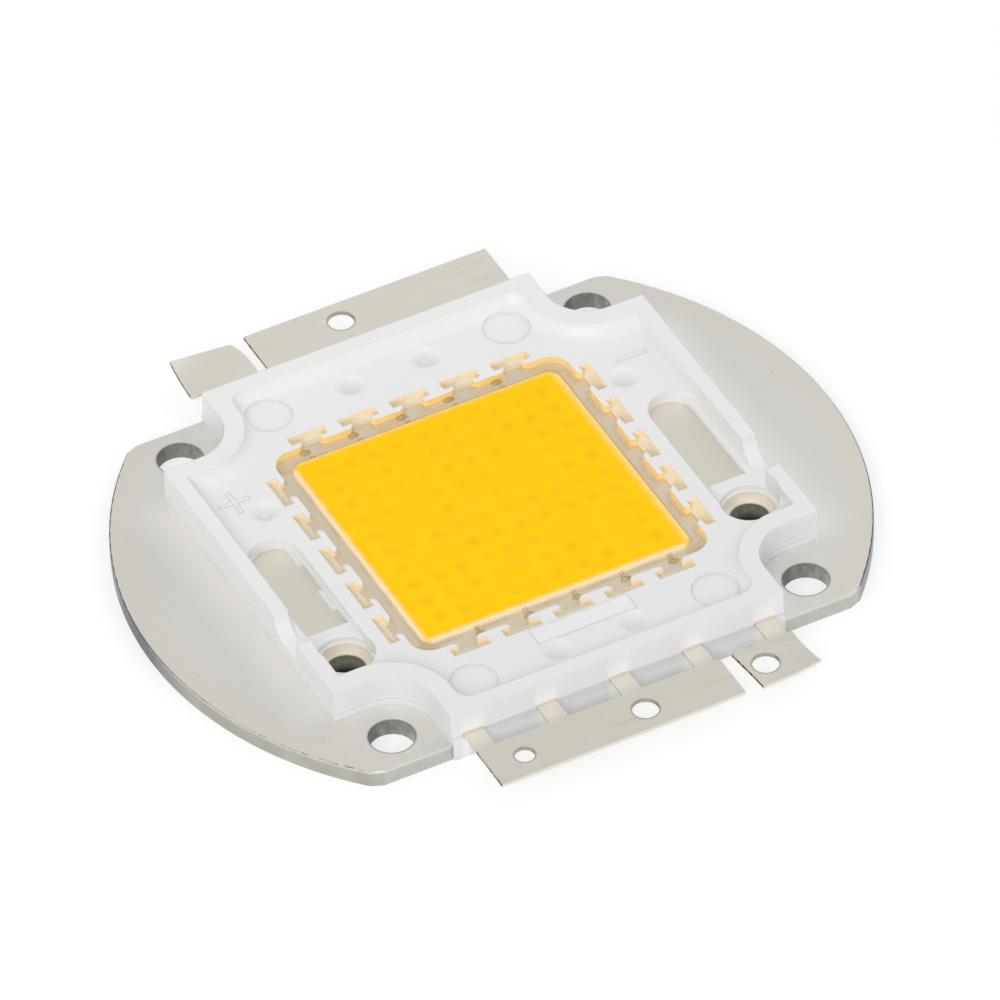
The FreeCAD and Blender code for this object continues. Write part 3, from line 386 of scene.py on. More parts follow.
facing = add_node(tree, "SeparateXYZ", {0: where.outputs["Normal"]})
across = add_node(tree, "Math", {0: facing.outputs["X"]}, operation="ABSOLUTE")
sideways = add_node(tree, "Math", {0: across, 1: 0.97}, operation="GREATER_THAN")
on_tab = add_node(tree, "Math", {0: part.outputs["Y"], 1: TAB_START + 0.1}, operation="GREATER_THAN")
cut_mask = add_node(tree, "Math", {0: sideways, 1: on_tab}, operation="MULTIPLY")
rust = add_node(tree, "TexNoise", {"Vector": place, "Scale": 1 / 0.625, "Detail": 3})
rust_mask = add_node(tree, "MapRange", {"Value": rust, "From Min": 0.4, "From Max": 0.62})
cut_colour = add_node(tree, "MixRGB", {"Fac": rust_mask, "Color1": "#3A352D", "Color2": "#B09A66"})
ringed = add_node(tree, "MixRGB", {"Fac": cut_mask, "Color1": with_well_reflection, "Color2": cut_colour})
for x, y, radius in TAB_HOLES:
    to_hole = level_distance(tree, whole.outputs["X"], whole.outputs["Y"], (x, y))
    rim = add_node(tree, "MapRange", {"Value": to_hole, "From Min": radius + 0.2, "From Max": radius + 0.02,
                                      "To Max": 0.7})
    ringed = add_node(tree, "MixRGB", {"Fac": rim, "Color1": ringed, "Color2": "#8C8B82"})
fine = add_node(tree, "TexNoise", {"Vector": place, "Scale": 1 / 0.1667, "Detail": 3})
fine_level = add_node(tree, "MapRange", {"Value": fine, "From Min": 0.3, "From Max": 0.7,
                                         "To Min": 0.96, "To Max": 1.03})
finished = add_node(tree, "MixRGB", {"Fac": 1.0, "Color1": ringed, "Color2": fine_level}, blend_type="MULTIPLY")
tree.links.new(finished.outputs[0], shader.inputs["Base Color"])
worn_edge = add_node(tree, "Bevel", {"Radius": 0.06 / 1000}, samples=4)
bump = add_node(tree, "Bump", {"Height": streak, "Strength": 0.06, "Distance": 0.2 / 1000, "Normal": worn_edge})
tree.links.new(bump.outputs[0], shader.inputs["Normal"])
dress(["lead_rail_left", "lead_rail_right"], strip)

# Leads with their tabs: each was stamped flat from the same strip, and handling has bent its
# narrow tab. Each is the flat lead cut into strips, with the points of that tab moved.

TAB_STRIPS = 14
LENGTHWISE_CUTS = (-15.5, -14.2, -12.8, -11.4, 10.9, 13.9, 14.6, 15.2, 15.8)
FRONT_TAB_LEFT = 10.17
CURL_START, CURL_WIDTH, CURL_RISE, CURL_DIP = 12.6, 3.8, 0.42, 0.15
LEFT_ASKEW, RIGHT_ASKEW, ASKEW_WIDTH = 0.6, 0.3, 0.9
BACK_TAB_LEFT, BACK_TAB_WIDTH = -16.87, 6.95
TWIST_RISE, TWIST_SAG, TWIST_SHIFT = 1.8, 1.46, 0.2


def bent_lead(node, name, bend):
    """The flat lead with its narrow tab bent, by a function of the place across it in
    millimetres and of the share of its length."""
    form = bmesh.new()
    form.from_mesh(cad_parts[node].data)
    bmesh.ops.remove_doubles(form, verts=form.verts, dist=2e-6)
    cuts = [(Vector((0, 1, 0)), side * (TAB_START + TAB_LENGTH * step / TAB_STRIPS))
            for side in (-1, 1) for step in range(TAB_STRIPS)]
    cuts += [(Vector((1, 0, 0)), x) for x in LENGTHWISE_CUTS]
    for normal, place in cuts:
        bmesh.ops.bisect_plane(form, geom=form.verts[:] + form.edges[:] + form.faces[:], dist=1e-6,
                               plane_co=normal * place / 1000, plane_no=normal)
    for vert in form.verts:
        outward = (abs(vert.co.y) * 1000 - TAB_START) / TAB_LENGTH
        if outward > 0:
            vert.co += Vector(bend(vert.co.x * 1000, outward)) / 1000
    mesh = bpy.data.meshes.new(name)
    form.to_mesh(mesh)
    form.free()
    mesh.shade_smooth()
    mesh.set_sharp_from_angle(angle=math.radians(30))
    mesh.materials.clear()
    mesh.materials.append(strip)
    lead = bpy.data.objects.new(name, mesh)
    bpy.context.scene.collection.objects.link(lead)
    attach(lead, "root")
    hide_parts(node)


def curl_front(x, outward):
    """The outer right corner is turned up, and the left edge was cut a little askew."""
    if x < FRONT_TAB_LEFT - 0.17:
        return 0, 0, 0
    along = min(max((x - CURL_START) / CURL_WIDTH, 0), 1)
    left_edge = max(1 - (x - FRONT_TAB_LEFT) / ASKEW_WIDTH, 0)
    askew = LEFT_ASKEW * left_edge * outward + RIGHT_ASKEW * along * outward ** 2
    return askew, 0, (CURL_RISE * along ** 1.5 - CURL_DIP * (1 - along)) * outward ** 3


def twist_back(x, outward):
    """The tab is twisted like a leaf: its left edge sags and then rises, the right one arches."""
    if x > BACK_TAB_LEFT + BACK_TAB_WIDTH + 0.12:
        return 0, 0, 0
    across = 1 - 2 * (x - BACK_TAB_LEFT) / BACK_TAB_WIDTH
    return -TWIST_SHIFT * outward ** 2, 0, across * (TWIST_RISE * outward - TWIST_SAG) * outward


bent_lead("lead_front", "lead_front_bent", curl_front)
bent_lead("lead_back", "lead_back_bent", twist_back)

# Housing: white heat-proof polyamide, moulded in one shot over the lead frame and on to the
# plate. Its walls inside the opening carry painted yellow light from the phosphor.

OPENING = 15.1
SLOT_PITCH = 5.25
SLOT_END = 16.7
FLOOR = 3.9
LEAD_TOP = 2.65
LEAD_BOTTOM = 2.3
LEAD_PITCH = 7.4475
LENS_BORE_RADIUS = 2.75

# White polyamide is opaque white and a little translucent at its edges. The melt's flow
# gives it clouds 8 mm across, and painted shade makes it darker at the front than at the back.

plastic, tree, shader, where, place = start_material("white_polyamide", 0, 0.42)
shader.inputs["Subsurface Weight"].default_value = 0.25
shader.inputs["Subsurface Scale"].default_value = 0.6 / 1000
shader.inputs["Subsurface Radius"].default_value = (1, 0.9, 0.8)
whole, part = per_axis(tree, place)
reach = add_node(tree, "Math", {0: part.outputs["X"], 1: part.outputs["Y"]}, operation="MAXIMUM")
facing = add_node(tree, "SeparateXYZ", {0: where.outputs["Normal"]})
cloud = add_node(tree, "TexNoise", {"Vector": place, "Scale": 1 / 8.33, "Detail": 3})
to_back = add_node(tree, "MapRange", {"Value": whole.outputs["Y"], "From Min": -25, "From Max": 25})
# The clouds, and painted shade that grows towards the front.
clouds_and_shade = add_node(tree, "MixRGB", {"Fac": 0.7, "Color1": cloud, "Color2": to_back})
white = add_node(tree, "MixRGB", {"Fac": clouds_and_shade, "Color1": "#E9EAEA", "Color2": "#F4F4F3"})

# The small marks: rings of the ejector pins, the two signs and the plaque. Painted shade in
# their corners draws each as a faint grey line, and their raised tops carry a painted
# highlight. The dimples carry painted shade, most at their middles, and the lens screws'
# bores are painted cream and glow faintly, as painted light, more the deeper they go.

PIN_PLACE, PIN_RADIUS = (12.36, 20.4), 2.2
SIGN_X, SIGN_Y, SIGN_LENGTH, SIGN_STROKE = 20.55, 11.3, 3, 0.35
PLAQUE_PLACE, PLAQUE_SIZE = (0, -18), (10, 2)
END_DIMPLE, SIDE_DIMPLE = (3.9, 20.4), (18.6, 9)
MARK_SHADE, RAISED_HIGHLIGHT = 0.22, 0.3


def past_border(x, y, middle, size):
    """How far the surface is outside a level rectangle, below zero within it."""
    gaps = []
    for value, centre, length in zip((x, y), middle, size):
        shifted = add_node(tree, "Math", {0: value, 1: centre}, operation="SUBTRACT")
        apart = add_node(tree, "Math", {0: shifted}, operation="ABSOLUTE")
        gaps.append(add_node(tree, "Math", {0: apart, 1: length / 2}, operation="SUBTRACT"))
    return add_node(tree, "Math", {0: gaps[0], 1: gaps[1]}, operation="MAXIMUM")


to_pin = level_distance(tree, part.outputs["X"], part.outputs["Y"], PIN_PLACE)
post = past_border(whole.outputs["X"], whole.outputs["Y"], (-SIGN_X, SIGN_Y), (SIGN_STROKE, SIGN_LENGTH))
bar = past_border(part.outputs["X"], whole.outputs["Y"], (SIGN_X, SIGN_Y), (SIGN_LENGTH, SIGN_STROKE))
signs = add_node(tree, "Math", {0: post, 1: bar}, operation="MINIMUM")
plaque = past_border(whole.outputs["X"], whole.outputs["Y"], PLAQUE_PLACE, PLAQUE_SIZE)
marks = None
for distance, offset, width in ((to_pin, PIN_RADIUS, 0.11), (to_pin, PIN_RADIUS - 0.28, 0.07),
                                (signs, 0.05, 0.10), (plaque, 0.05, 0.08)):
    line = add_node(tree, "Math", {0: distance, 1: offset, 2: width}, operation="COMPARE")
    marks = add_node(tree, "Math", {0: marks, 1: line}, operation="MAXIMUM") if marks else line
level_face = add_node(tree, "Math", {0: facing.outputs["Z"], 1: 0.9}, operation="GREATER_THAN")
# Painted shade along the lines of the marks.
shaded_mark_lines = add_node(tree, "Math", {0: marks, 1: level_face}, operation="MULTIPLY")
mark_shade_level = add_node(tree, "Math", {0: shaded_mark_lines, 1: MARK_SHADE}, operation="MULTIPLY")
# A painted highlight on the raised tops of the signs and the plaque.
raised = add_node(tree, "Math", {0: signs, 1: plaque}, operation="MINIMUM")
on_raised = add_node(tree, "MapRange", {"Value": raised, "From Min": 0.02, "From Max": -0.05, "To Max": RAISED_HIGHLIGHT})
raised_level = add_node(tree, "Math", {0: on_raised, 1: level_face}, operation="MULTIPLY")
raised_highlighted = add_node(tree, "MixRGB", {"Fac": raised_level, "Color1": white, "Color2": "#FAFAF8"})
marked = add_node(tree, "MixRGB", {"Fac": mark_shade_level, "Color1": raised_highlighted, "Color2": "#D3D5D3"})
to_end_dimple = level_distance(tree, part.outputs["X"], part.outputs["Y"], END_DIMPLE)
to_side_dimple = level_distance(tree, part.outputs["X"], whole.outputs["Y"], SIDE_DIMPLE)
to_dimple = add_node(tree, "Math", {0: to_end_dimple, 1: to_side_dimple}, operation="MINIMUM")
# Painted shade in the dimples, most at their middles.
painted_dimple_shade = add_node(tree, "MapRange", {"Value": to_dimple, "From Min": 1.5, "From Max": 0.5, "To Max": 0.75},
                     interpolation_type="SMOOTHSTEP")
dimple_shaded = add_node(tree, "MixRGB", {"Fac": painted_dimple_shade, "Color1": marked, "Color2": "#E4E5E0"})
to_lens = level_distance(tree, part.outputs["X"], whole.outputs["Y"], LENS_PLACE)
# Painted light in the lens bores, more the deeper they go.
near_bore = add_node(tree, "MapRange", {"Value": to_lens, "From Min": LENS_BORE_RADIUS + 0.2,
                                        "From Max": LENS_BORE_RADIUS + 0.05})
deep = add_node(tree, "MapRange", {"Value": whole.outputs["Z"], "From Min": 3.0, "From Max": 2.3, "To Min": 0.05})
painted_bore_light = add_node(tree, "Math", {0: near_bore, 1: deep}, operation="MULTIPLY")
bore_lit = add_node(tree, "MixRGB", {"Fac": painted_bore_light, "Color1": dimple_shaded, "Color2": "#F6EEE2"})

# Outer walls: a fine line of flash at the level of the lead frame, wavy every 4.5 mm or so,
# with a line of painted shade under it, patches of painted light with a faint glow above each
# lead, standing for the light the metal throws on the wall, and painted shade on the foot
# below them.

CORNER_CUT, SIDE_WALL, END_WALL = 15.2, 24.4, 24.5
FLASH_AND_SHADE_LINES = ((2.68, 0.5, "#CDD0D2"), (2.80, 1.0, "#FDFDFC"))
FLASH_WIDTH, FLASH_WAVE = 0.06, 0.30
PATCH_GLOW = 0.04

corner = add_node(tree, "Math", {0: part.outputs["X"], 1: part.outputs["Y"]}, operation="MINIMUM")
at_corner = add_node(tree, "Math", {0: corner, 1: CORNER_CUT}, operation="GREATER_THAN")
at_side = add_node(tree, "Math", {0: reach, 1: SIDE_WALL}, operation="GREATER_THAN")
outer = add_node(tree, "Math", {0: at_corner, 1: at_side}, operation="MAXIMUM")
standing = add_node(tree, "Math", {0: facing.outputs["Z"], 1: 0, 2: 0.3}, operation="COMPARE")
outer_wall = add_node(tree, "Math", {0: outer, 1: standing}, operation="MULTIPLY")
wave = add_node(tree, "TexNoise", {"Vector": place, "Scale": 1 / 4.55, "Detail": 3})
wavy_height = add_node(tree, "Math", {0: wave, 1: FLASH_WAVE, 2: whole.outputs["Z"]}, operation="MULTIPLY_ADD")
flashed_and_shaded = bore_lit
# The pale flash, with a line of painted shade just under it.
for height, strength, code in FLASH_AND_SHADE_LINES:
    on_line = add_node(tree, "Math", {0: wavy_height, 1: height, 2: FLASH_WIDTH}, operation="COMPARE")
    on_wall = add_node(tree, "Math", {0: on_line, 1: outer_wall}, operation="MULTIPLY")
    line_level = add_node(tree, "Math", {0: on_wall, 1: strength}, operation="MULTIPLY")
    flashed_and_shaded = add_node(tree, "MixRGB", {"Fac": line_level, "Color1": flashed_and_shaded, "Color2": code})
# Painted light above each lead, where the metal lights the wall.
in_pitches = add_node(tree, "Math", {0: whole.outputs["X"], 1: LEAD_PITCH}, operation="DIVIDE")
nearest = add_node(tree, "Math", {0: in_pitches}, operation="ROUND")
beside = add_node(tree, "Math", {0: in_pitches, 1: nearest}, operation="SUBTRACT")
off_lead = add_node(tree, "Math", {0: beside}, operation="ABSOLUTE")
above_lead = add_node(tree, "MapRange", {"Value": off_lead, "From Min": 0.19, "From Max": 0.10})
higher = add_node(tree, "MapRange", {"Value": whole.outputs["Z"], "From Min": 5.0, "From Max": 2.6,
                                     "To Min": 0.05, "To Max": 0.85})
at_end = add_node(tree, "Math", {0: part.outputs["Y"], 1: END_WALL}, operation="GREATER_THAN")
lead_light = add_node(tree, "Math", {0: above_lead, 1: higher}, operation="MULTIPLY")
end_light = add_node(tree, "Math", {0: lead_light, 1: at_end}, operation="MULTIPLY")
painted_patch_light = add_node(tree, "Math", {0: end_light, 1: standing}, operation="MULTIPLY")
patch_lit = add_node(tree, "MixRGB", {"Fac": painted_patch_light, "Color1": flashed_and_shaded, "Color2": "#FCFDFD"})
# Painted shade on the foot of the wall under the leads.
low = add_node(tree, "MapRange", {"Value": whole.outputs["Z"], "From Min": 1.6, "From Max": LEAD_BOTTOM,
                                  "To Min": 0.40, "To Max": 0.80})
below = add_node(tree, "Math", {0: whole.outputs["Z"], 1: LEAD_BOTTOM + 0.02}, operation="LESS_THAN")
foot_wall = add_node(tree, "Math", {0: below, 1: at_end}, operation="MULTIPLY")
under_leads = add_node(tree, "Math", {0: part.outputs["X"], 1: 15.5}, operation="LESS_THAN")
foot_mask = add_node(tree, "Math", {0: foot_wall, 1: under_leads}, operation="MULTIPLY")
painted_foot_shade = add_node(tree, "Math", {0: foot_mask, 1: low}, operation="MULTIPLY")
foot_shaded = add_node(tree, "MixRGB", {"Fac": painted_foot_shade, "Color1": patch_lit, "Color2": "#CDD1D1"})

# Opening and T slots: painted light from the phosphor makes the walls yellow, least at the
# front and left, and walls and floors glow faintly, as painted light. The slots' floors are
# cream, darker in the low necks, and grey over the back leads.

SLOT_GLOW_FLOOR, SLOT_GLOW_WALL, BORE_GLOW = 0.05, 0.14, 0.05

in_opening = add_node(tree, "Math", {0: reach, 1: SLOT_END + 0.15}, operation="LESS_THAN")
below_floor = add_node(tree, "MapRange", {"Value": whole.outputs["Z"], "From Min": FLOOR - 0.01,
                                          "From Max": FLOOR - 0.1})
phosphor_lit_region = add_node(tree, "Math", {0: in_opening, 1: below_floor}, operation="MULTIPLY")
upright = add_node(tree, "MapRange", {"Value": facing.outputs["Z"], "From Min": 0.7, "From Max": 0.3})
far_wall = add_node(tree, "MapRange", {"Value": reach, "From Min": OPENING + 0.2, "From Max": SLOT_END - 0.1})
# Painted light from the phosphor: stronger yellow on the back and right walls.
back_right = add_node(tree, "Math", {0: whole.outputs["X"], 1: whole.outputs["Y"]}, operation="MAXIMUM")
lit_wall = add_node(tree, "MapRange", {"Value": back_right, "From Min": OPENING - 1.6, "From Max": OPENING - 0.1})
near_phosphor_light = add_node(tree, "MixRGB", {"Fac": lit_wall, "Color1": "#F9E6C6", "Color2": "#FFDC8F"})
wall_phosphor_light = add_node(tree, "MixRGB", {"Fac": far_wall, "Color1": near_phosphor_light, "Color2": "#F6E7CC"})
neck = add_node(tree, "Math", {0: whole.outputs["Z"], 1: LEAD_TOP + 0.15}, operation="LESS_THAN")
slot_floor = add_node(tree, "MixRGB", {"Fac": neck, "Color1": "#F3EDDF", "Color2": "#DAD1C1"})
slot_colour_and_light = add_node(tree, "MixRGB", {"Fac": upright, "Color1": slot_floor, "Color2": wall_phosphor_light})
in_slots = add_node(tree, "Math", {0: corner, 1: SLOT_PITCH}, operation="DIVIDE")
nearest_slot = add_node(tree, "Math", {0: in_slots}, operation="ROUND")
in_neck = add_node(tree, "Math", {0: in_slots, 1: nearest_slot, 2: 0.178}, operation="COMPARE")
below_head = add_node(tree, "MapRange", {"Value": reach, "From Min": 16.2, "From Max": 16.0})
on_lead = add_node(tree, "Math", {0: in_neck, 1: below_head}, operation="MULTIPLY")
at_back = add_node(tree, "Math", {0: whole.outputs["Y"], 1: OPENING - 0.1}, operation="GREATER_THAN")
on_back_lead = add_node(tree, "Math", {0: on_lead, 1: at_back}, operation="MULTIPLY")
greyed = add_node(tree, "MixRGB", {"Fac": on_back_lead, "Color1": slot_colour_and_light, "Color2": "#E6DECF"})
opening_lit = add_node(tree, "MixRGB", {"Fac": phosphor_lit_region, "Color1": foot_shaded, "Color2": greyed})
tree.links.new(opening_lit.outputs[0], shader.inputs["Base Color"])
# Painted light: the opening's walls and floors, the lens bores and the patches above the leads glow in their own
# colour.
bore_glow = add_node(tree, "Math", {0: painted_bore_light, 1: BORE_GLOW}, operation="MULTIPLY")
slot_glow = add_node(tree, "MapRange", {"Value": upright, "To Min": SLOT_GLOW_FLOOR, "To Max": SLOT_GLOW_WALL})
opening_glow = add_node(tree, "Math", {0: phosphor_lit_region, 1: slot_glow}, operation="MULTIPLY")
two_glows = add_node(tree, "Math", {0: opening_glow, 1: bore_glow}, operation="ADD")
all_glow = add_node(tree, "Math", {0: painted_patch_light, 1: PATCH_GLOW, 2: two_glows}, operation="MULTIPLY_ADD")
tree.links.new(opening_lit.outputs[0], shader.inputs["Emission Color"])
tree.links.new(all_glow.outputs[0], shader.inputs["Emission Strength"])

# The mould's eroded skin is drawn at 0.25 mm, some five times too coarse, so that it shows.
# The parting line stands out as a low ridge, and the painted-shade lines of the marks are sunk.

skin = add_node(tree, "TexNoise", {"Vector": place, "Scale": 1 / 0.25, "Detail": 3})
ridge_foot = add_node(tree, "MapRange", {"Value": whole.outputs["Z"], "From Min": 2.52, "From Max": 2.62})
ridge_top = add_node(tree, "MapRange", {"Value": whole.outputs["Z"], "From Min": 2.78, "From Max": 2.68})
ridge = add_node(tree, "Math", {0: ridge_foot, 1: ridge_top}, operation="MULTIPLY")
outside = add_node(tree, "Math", {0: reach, 1: WELL_END}, operation="GREATER_THAN")
parting_line = add_node(tree, "Math", {0: ridge, 1: outside}, operation="MULTIPLY")
grooved = add_node(tree, "Math", {0: parting_line, 1: shaded_mark_lines}, operation="SUBTRACT")
relief = add_node(tree, "Math", {0: skin, 1: 0.12, 2: grooved}, operation="MULTIPLY_ADD")
worn_edge = add_node(tree, "Bevel", {"Radius": 0.14 / 1000}, samples=4)
bump = add_node(tree, "Bump", {"Height": relief, "Strength": 0.5, "Distance": 0.08 / 1000, "Normal": worn_edge})
tree.links.new(bump.outputs[0], shader.inputs["Normal"])
dress(["housing"], plastic)

# Chips: sapphire dice with a mirror back, glued to the plate in ten columns of ten, and
# hidden by the phosphor. Sapphire is clear and glassy, so they show the blue-grey mesas,
# 0.33 mm across, that are etched into it.

sapphire, tree, shader, _, place = start_material("sapphire_chip", 0, 0.12)
shader.inputs["IOR"].default_value = 1.77
mesa = add_node(tree, "TexVoronoi", {"Vector": place, "Scale": 1 / 0.333})
mesa_colour = add_node(tree, "MixRGB", {"Fac": mesa, "Color1": "#8FA6C8", "Color2": "#C7D2E2"})
tree.links.new(mesa_colour.outputs[0], shader.inputs["Base Color"])
dress([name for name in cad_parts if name.startswith("chip_column")], sapphire)

# Bond wires: drawn gold wire, welded from chip to chip and to the two bus strips. It is
# bright, with drawing streaks at 0.125 mm, far too coarse for the real wire, so they show.

gold, tree, shader, _, place = start_material("gold_wire", 1, 0.22)
drawn = add_node(tree, "TexNoise", {"Vector": place, "Scale": 1 / 0.125, "Detail": 2})
drawn_colour = add_node(tree, "MixRGB", {"Fac": drawn, "Color1": "#C79A4A", "Color2": "#E9C98A"})
tree.links.new(drawn_colour.outputs[0], shader.inputs["Base Color"])
dress([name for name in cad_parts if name.startswith("bond_wires")], gold)

# Bond drops: low uneven amber domes over the wire ends on the two bus strips.

CHIP_PITCH = 2.471
DROP_HALF_LENGTH, DROP_HALF_WIDTH, DROP_HEIGHT, DROP_FOOT = 0.55, 0.32, 0.42, 2.62
DROP_WOBBLE = 0.22
BACK_DROPS, FRONT_DROPS = (-0.3, 14.85), (0.1, -14.5)

drops = bmesh.new()
for index in range(5):
    for side, column, (shift, y) in ((1, 4 * index - 9, BACK_DROPS), (-1, 4 * index - 7, FRONT_DROPS)):
        x = column * CHIP_PITCH / 2 + shift
        made = bmesh.ops.create_uvsphere(drops, u_segments=20, v_segments=12, radius=1)
        for vert in made["verts"]:
            wobble = 1 + DROP_WOBBLE * noise.noise(vert.co * 1.3 + Vector((index * 3.1, side * 5.7, 0)))
            vert.co = Vector((x + vert.co.x * DROP_HALF_LENGTH * wobble,
                              y + vert.co.y * DROP_HALF_WIDTH * wobble,
                              DROP_FOOT + max(vert.co.z, -0.1) * DROP_HEIGHT * wobble)) / 1000
drops_mesh = bpy.data.meshes.new("bond_drops")
drops.to_mesh(drops_mesh)
drops.free()
drops_mesh.shade_smooth()
bond_drops = bpy.data.objects.new("bond_drops", drops_mesh)
bpy.context.scene.collection.objects.link(bond_drops)

# The drops are smooth and glossy amber, in uneven tones some 0.7 mm across.

drop_material, tree, shader, _, place = start_material("amber_drop", 0, 0.2)
shader.inputs["IOR"].default_value = 1.5
drop_cloud = add_node(tree, "TexNoise", {"Vector": place, "Scale": 1 / 0.667, "Detail": 3})
drop_colour = add_node(tree, "MixRGB", {"Fac": drop_cloud, "Color1": "#A58D5E", "Color2": "#D9C9A6"})
tree.links.new(drop_colour.outputs[0], shader.inputs["Base Color"])
drops_mesh.materials.append(drop_material)
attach(bond_drops, "root")

# Phosphor layer: yellow powder in silicone, poured over the chips and cured. It is a strong
# warm yellow, paler at its thin edge, with a faint darker spot over each chip, and painted
# shade gives its back and right edge a deeper yellow. It glows in its own colour, more at the
# edge, as painted light. The powder is really about 0.015 mm and is drawn at 0.2 mm, so that
# it shows.

EDGE_LEFT, EDGE_RIGHT, EDGE_END = (-13.1, -13.75), (12.75, 13.6), (12.9, 13.55)
EDGE_POWER = 1.6
DEEP_GLOW, EDGE_GLOW = 0.17, 0.22

powder, tree, shader, _, place = start_material("phosphor_in_silicone", 0, 0.5)
shader.inputs["Specular IOR Level"].default_value = 0
whole, part = per_axis(tree, place)
mirrored = add_node(tree, "CombineXYZ", {"X": part.outputs["X"], "Y": part.outputs["Y"]})
in_cells = add_node(tree, "VectorMath", {0: mirrored, "Scale": 1 / CHIP_PITCH}, operation="SCALE")
in_cell = add_node(tree, "VectorMath", {0: in_cells}, operation="FRACTION")
cell = add_node(tree, "SeparateXYZ", {0: in_cell})
from_chip = level_distance(tree, cell.outputs["X"], cell.outputs["Y"], (0.5, 0.5))
spot = add_node(tree, "MapRange", {"Value": from_chip, "From Min": 0.36, "From Max": 0.05},
                interpolation_type="SMOOTHSTEP")
uneven = add_node(tree, "TexNoise", {"Vector": place, "Scale": 1 / 2.22, "Detail": 3})
uneven_level = add_node(tree, "MapRange", {"Value": uneven, "From Min": 0.35, "From Max": 0.65,
                                           "To Min": 0.25, "To Max": 0.8})
spotted = add_node(tree, "Math", {0: spot, 1: uneven_level}, operation="MULTIPLY")
yellow = add_node(tree, "MixRGB", {"Fac": spotted, "Color1": "#FFCF00", "Color2": "#F0BA00"})
powder_grain = add_node(tree, "TexNoise", {"Vector": place, "Scale": 1 / 0.2, "Detail": 3})
powder_level = add_node(tree, "MapRange", {"Value": powder_grain, "From Min": 0.3, "From Max": 0.7,
                                           "To Min": 0.97, "To Max": 1.02})
grained = add_node(tree, "MixRGB", {"Fac": 1.0, "Color1": yellow, "Color2": powder_level}, blend_type="MULTIPLY")
edges = [add_node(tree, "MapRange", {"Value": value, "From Min": inner, "From Max": outer})
         for value, (inner, outer) in ((whole.outputs["X"], EDGE_LEFT), (whole.outputs["X"], EDGE_RIGHT),
                                       (part.outputs["Y"], EDGE_END))]
edge = edges[0]
for other in edges[1:]:
    edge = add_node(tree, "Math", {0: edge, 1: other}, operation="MAXIMUM")
edge_mask = add_node(tree, "Math", {0: edge, 1: EDGE_POWER}, operation="POWER")
# Painted shade: the back and right edge is a deeper yellow.
back_right = add_node(tree, "Math", {0: whole.outputs["X"], 1: whole.outputs["Y"]}, operation="MAXIMUM")
shaded_far_edge = add_node(tree, "MapRange", {"Value": back_right, "From Min": 12.6, "From Max": 13.2})
edge_colour = add_node(tree, "MixRGB", {"Fac": shaded_far_edge, "Color1": "#F0E4CD", "Color2": "#F0DC90"})
thinned = add_node(tree, "MixRGB", {"Fac": edge_mask, "Color1": grained, "Color2": edge_colour})
# Painted light: the layer glows in its own colour, more at the edge.
glow_level = add_node(tree, "MapRange", {"Value": edge_mask, "To Min": DEEP_GLOW, "To Max": EDGE_GLOW})
tree.links.new(thinned.outputs[0], shader.inputs["Base Color"])
tree.links.new(thinned.outputs[0], shader.inputs["Emission Color"])
tree.links.new(glow_level.outputs[0], shader.inputs["Emission Strength"])
bump = add_node(tree, "Bump", {"Height": powder_grain, "Strength": 0.1, "Distance": 0.05 / 1000})
tree.links.new(bump.outputs[0], shader.inputs["Normal"])
dress(["phosphor_layer"], powder)

# Clear silicone: poured up to just under the floor of the housing, into the T slots, so its
# face creeps up a little along every wall. The body reaches 0.02 mm into its neighbours,
# which leaves no air between the two.

WETTING = 0.02
OPENING_ROUND = 2
SLOTS = (2, 1, 0, -1, -2)
NECK_HALF = 0.95
HEAD_HALF = 1.875
HEAD_START = 15.7
SHOULDER = 0.55
SILICONE_BOTTOM = 2.63
SILICONE_TOP = 3.85
CREEP = 0.035
CREEP_STEPS = ((0.07, 0.6), (0.12, 0.3), (0.12, 0.1))


def arc_points(centre_x, centre_y, radius, start, end, steps):
    """Points along an arc, from one angle to another in degrees."""
    angles = [math.radians(start + (end - start) * step / steps) for step in range(steps + 1)]
    return [(centre_x + radius * math.cos(a), centre_y + radius * math.sin(a)) for a in angles]


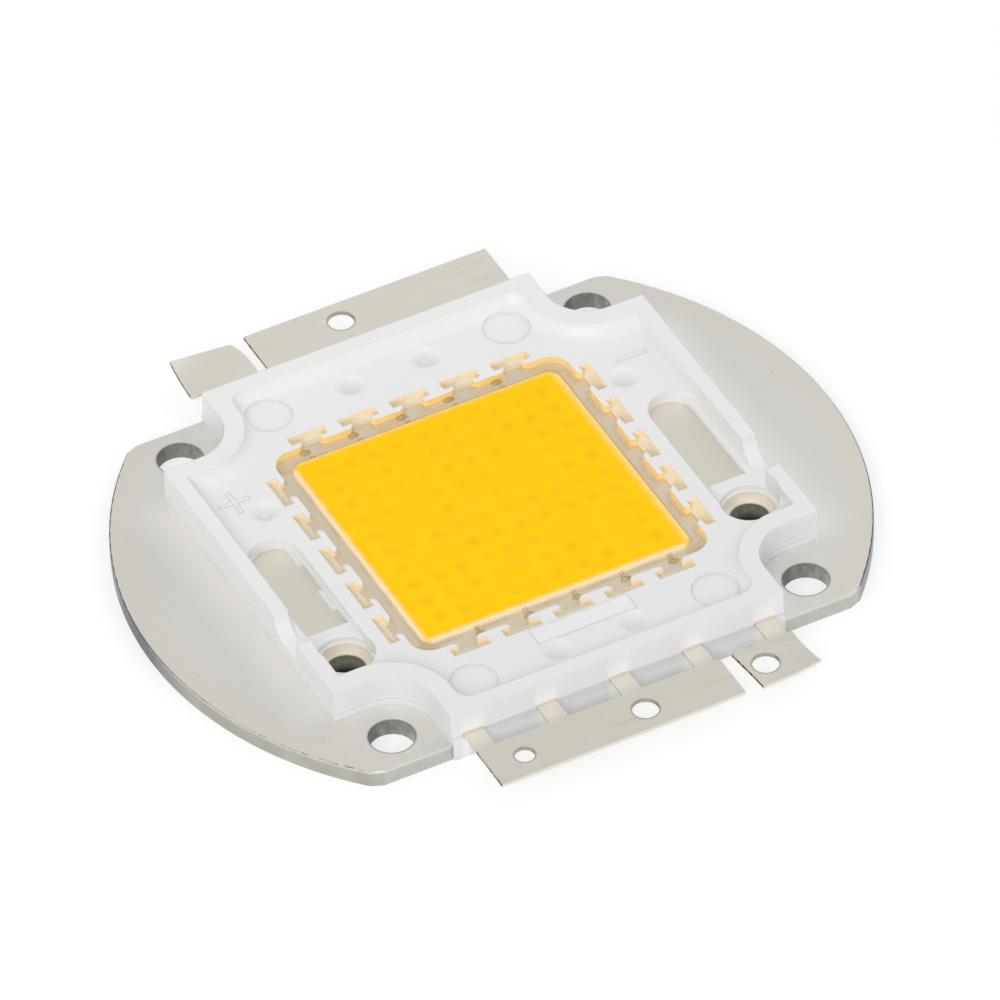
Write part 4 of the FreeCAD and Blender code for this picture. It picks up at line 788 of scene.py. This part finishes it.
back_side = arc_points(OPENING - OPENING_ROUND, OPENING - OPENING_ROUND, OPENING_ROUND + WETTING, 0, 90, 10)
shoulder_y = OPENING + SHOULDER
head_y, end_y = HEAD_START - WETTING, SLOT_END + WETTING
for slot in SLOTS:
    middle = slot * SLOT_PITCH
    neck, head = NECK_HALF + WETTING, HEAD_HALF + WETTING
    back_side += arc_points(middle + NECK_HALF + SHOULDER, shoulder_y, SHOULDER - WETTING, 270, 180, 6)
    back_side += [(middle + neck, head_y), (middle + head, head_y), (middle + head, end_y),
                  (middle - head, end_y), (middle - head, head_y), (middle - neck, head_y)]
    back_side += arc_points(middle - NECK_HALF - SHOULDER, shoulder_y, SHOULDER - WETTING, 360, 270, 6)
outline = []
for quarter_turns in range(4):
    for x, y in back_side:
        for _ in range(quarter_turns):
            x, y = -y, x
        outline.append((x, y))

form = bmesh.new()
lower, upper = ([form.verts.new((x / 1000, y / 1000, height / 1000)) for x, y in outline]
                for height in (SILICONE_BOTTOM, SILICONE_TOP + CREEP))
for index in range(len(outline)):
    after = (index + 1) % len(outline)
    form.faces.new((lower[index], lower[after], upper[after], upper[index]))
form.faces.new(lower[::-1])
top_face = form.faces.new(upper)
for width, drop in CREEP_STEPS:
    bmesh.ops.inset_region(form, faces=[top_face], thickness=width / 1000, use_even_offset=True)
    for vert in top_face.verts:
        vert.co.z -= drop * CREEP / 1000
form.normal_update()
silicone_mesh = bpy.data.meshes.new("silicone_fill")
form.to_mesh(silicone_mesh)
form.free()
silicone_mesh.shade_smooth()
silicone_mesh.set_sharp_from_angle(angle=math.radians(40))
silicone = bpy.data.objects.new("silicone_fill", silicone_mesh)
bpy.context.scene.collection.objects.link(silicone)

# Clear silicone rubber is glassy and faintly warm, with a mirror face that waves every 4 mm
# or so. The light of the lamps passes it as through thin clear film.

clear, tree, shader, _, place = start_material("clear_silicone_rubber", 0, 0.03)
shader.inputs["Base Color"].default_value = colour("#FFFEFA")
shader.inputs["Transmission Weight"].default_value = 1
shader.inputs["IOR"].default_value = 1.41
shader.inputs["Specular Tint"].default_value = colour("#FFD66A")
wave = add_node(tree, "TexNoise", {"Vector": place, "Scale": 1 / 4, "Detail": 1})
bump = add_node(tree, "Bump", {"Height": wave, "Strength": 0.15, "Distance": 0.1 / 1000})
tree.links.new(bump.outputs[0], shader.inputs["Normal"])
ray = add_node(tree, "LightPath")
open_way = add_node(tree, "BsdfTransparent", {"Color": "#FCFBF9"})
passing = add_node(tree, "MixShader", {0: ray.outputs["Is Shadow Ray"], 1: shader, 2: open_way})
tree.links.new(passing.outputs[0], tree.nodes["Material Output"].inputs["Surface"])
silicone_mesh.materials.append(clear)
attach(silicone, "root")
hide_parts("clear_silicone")
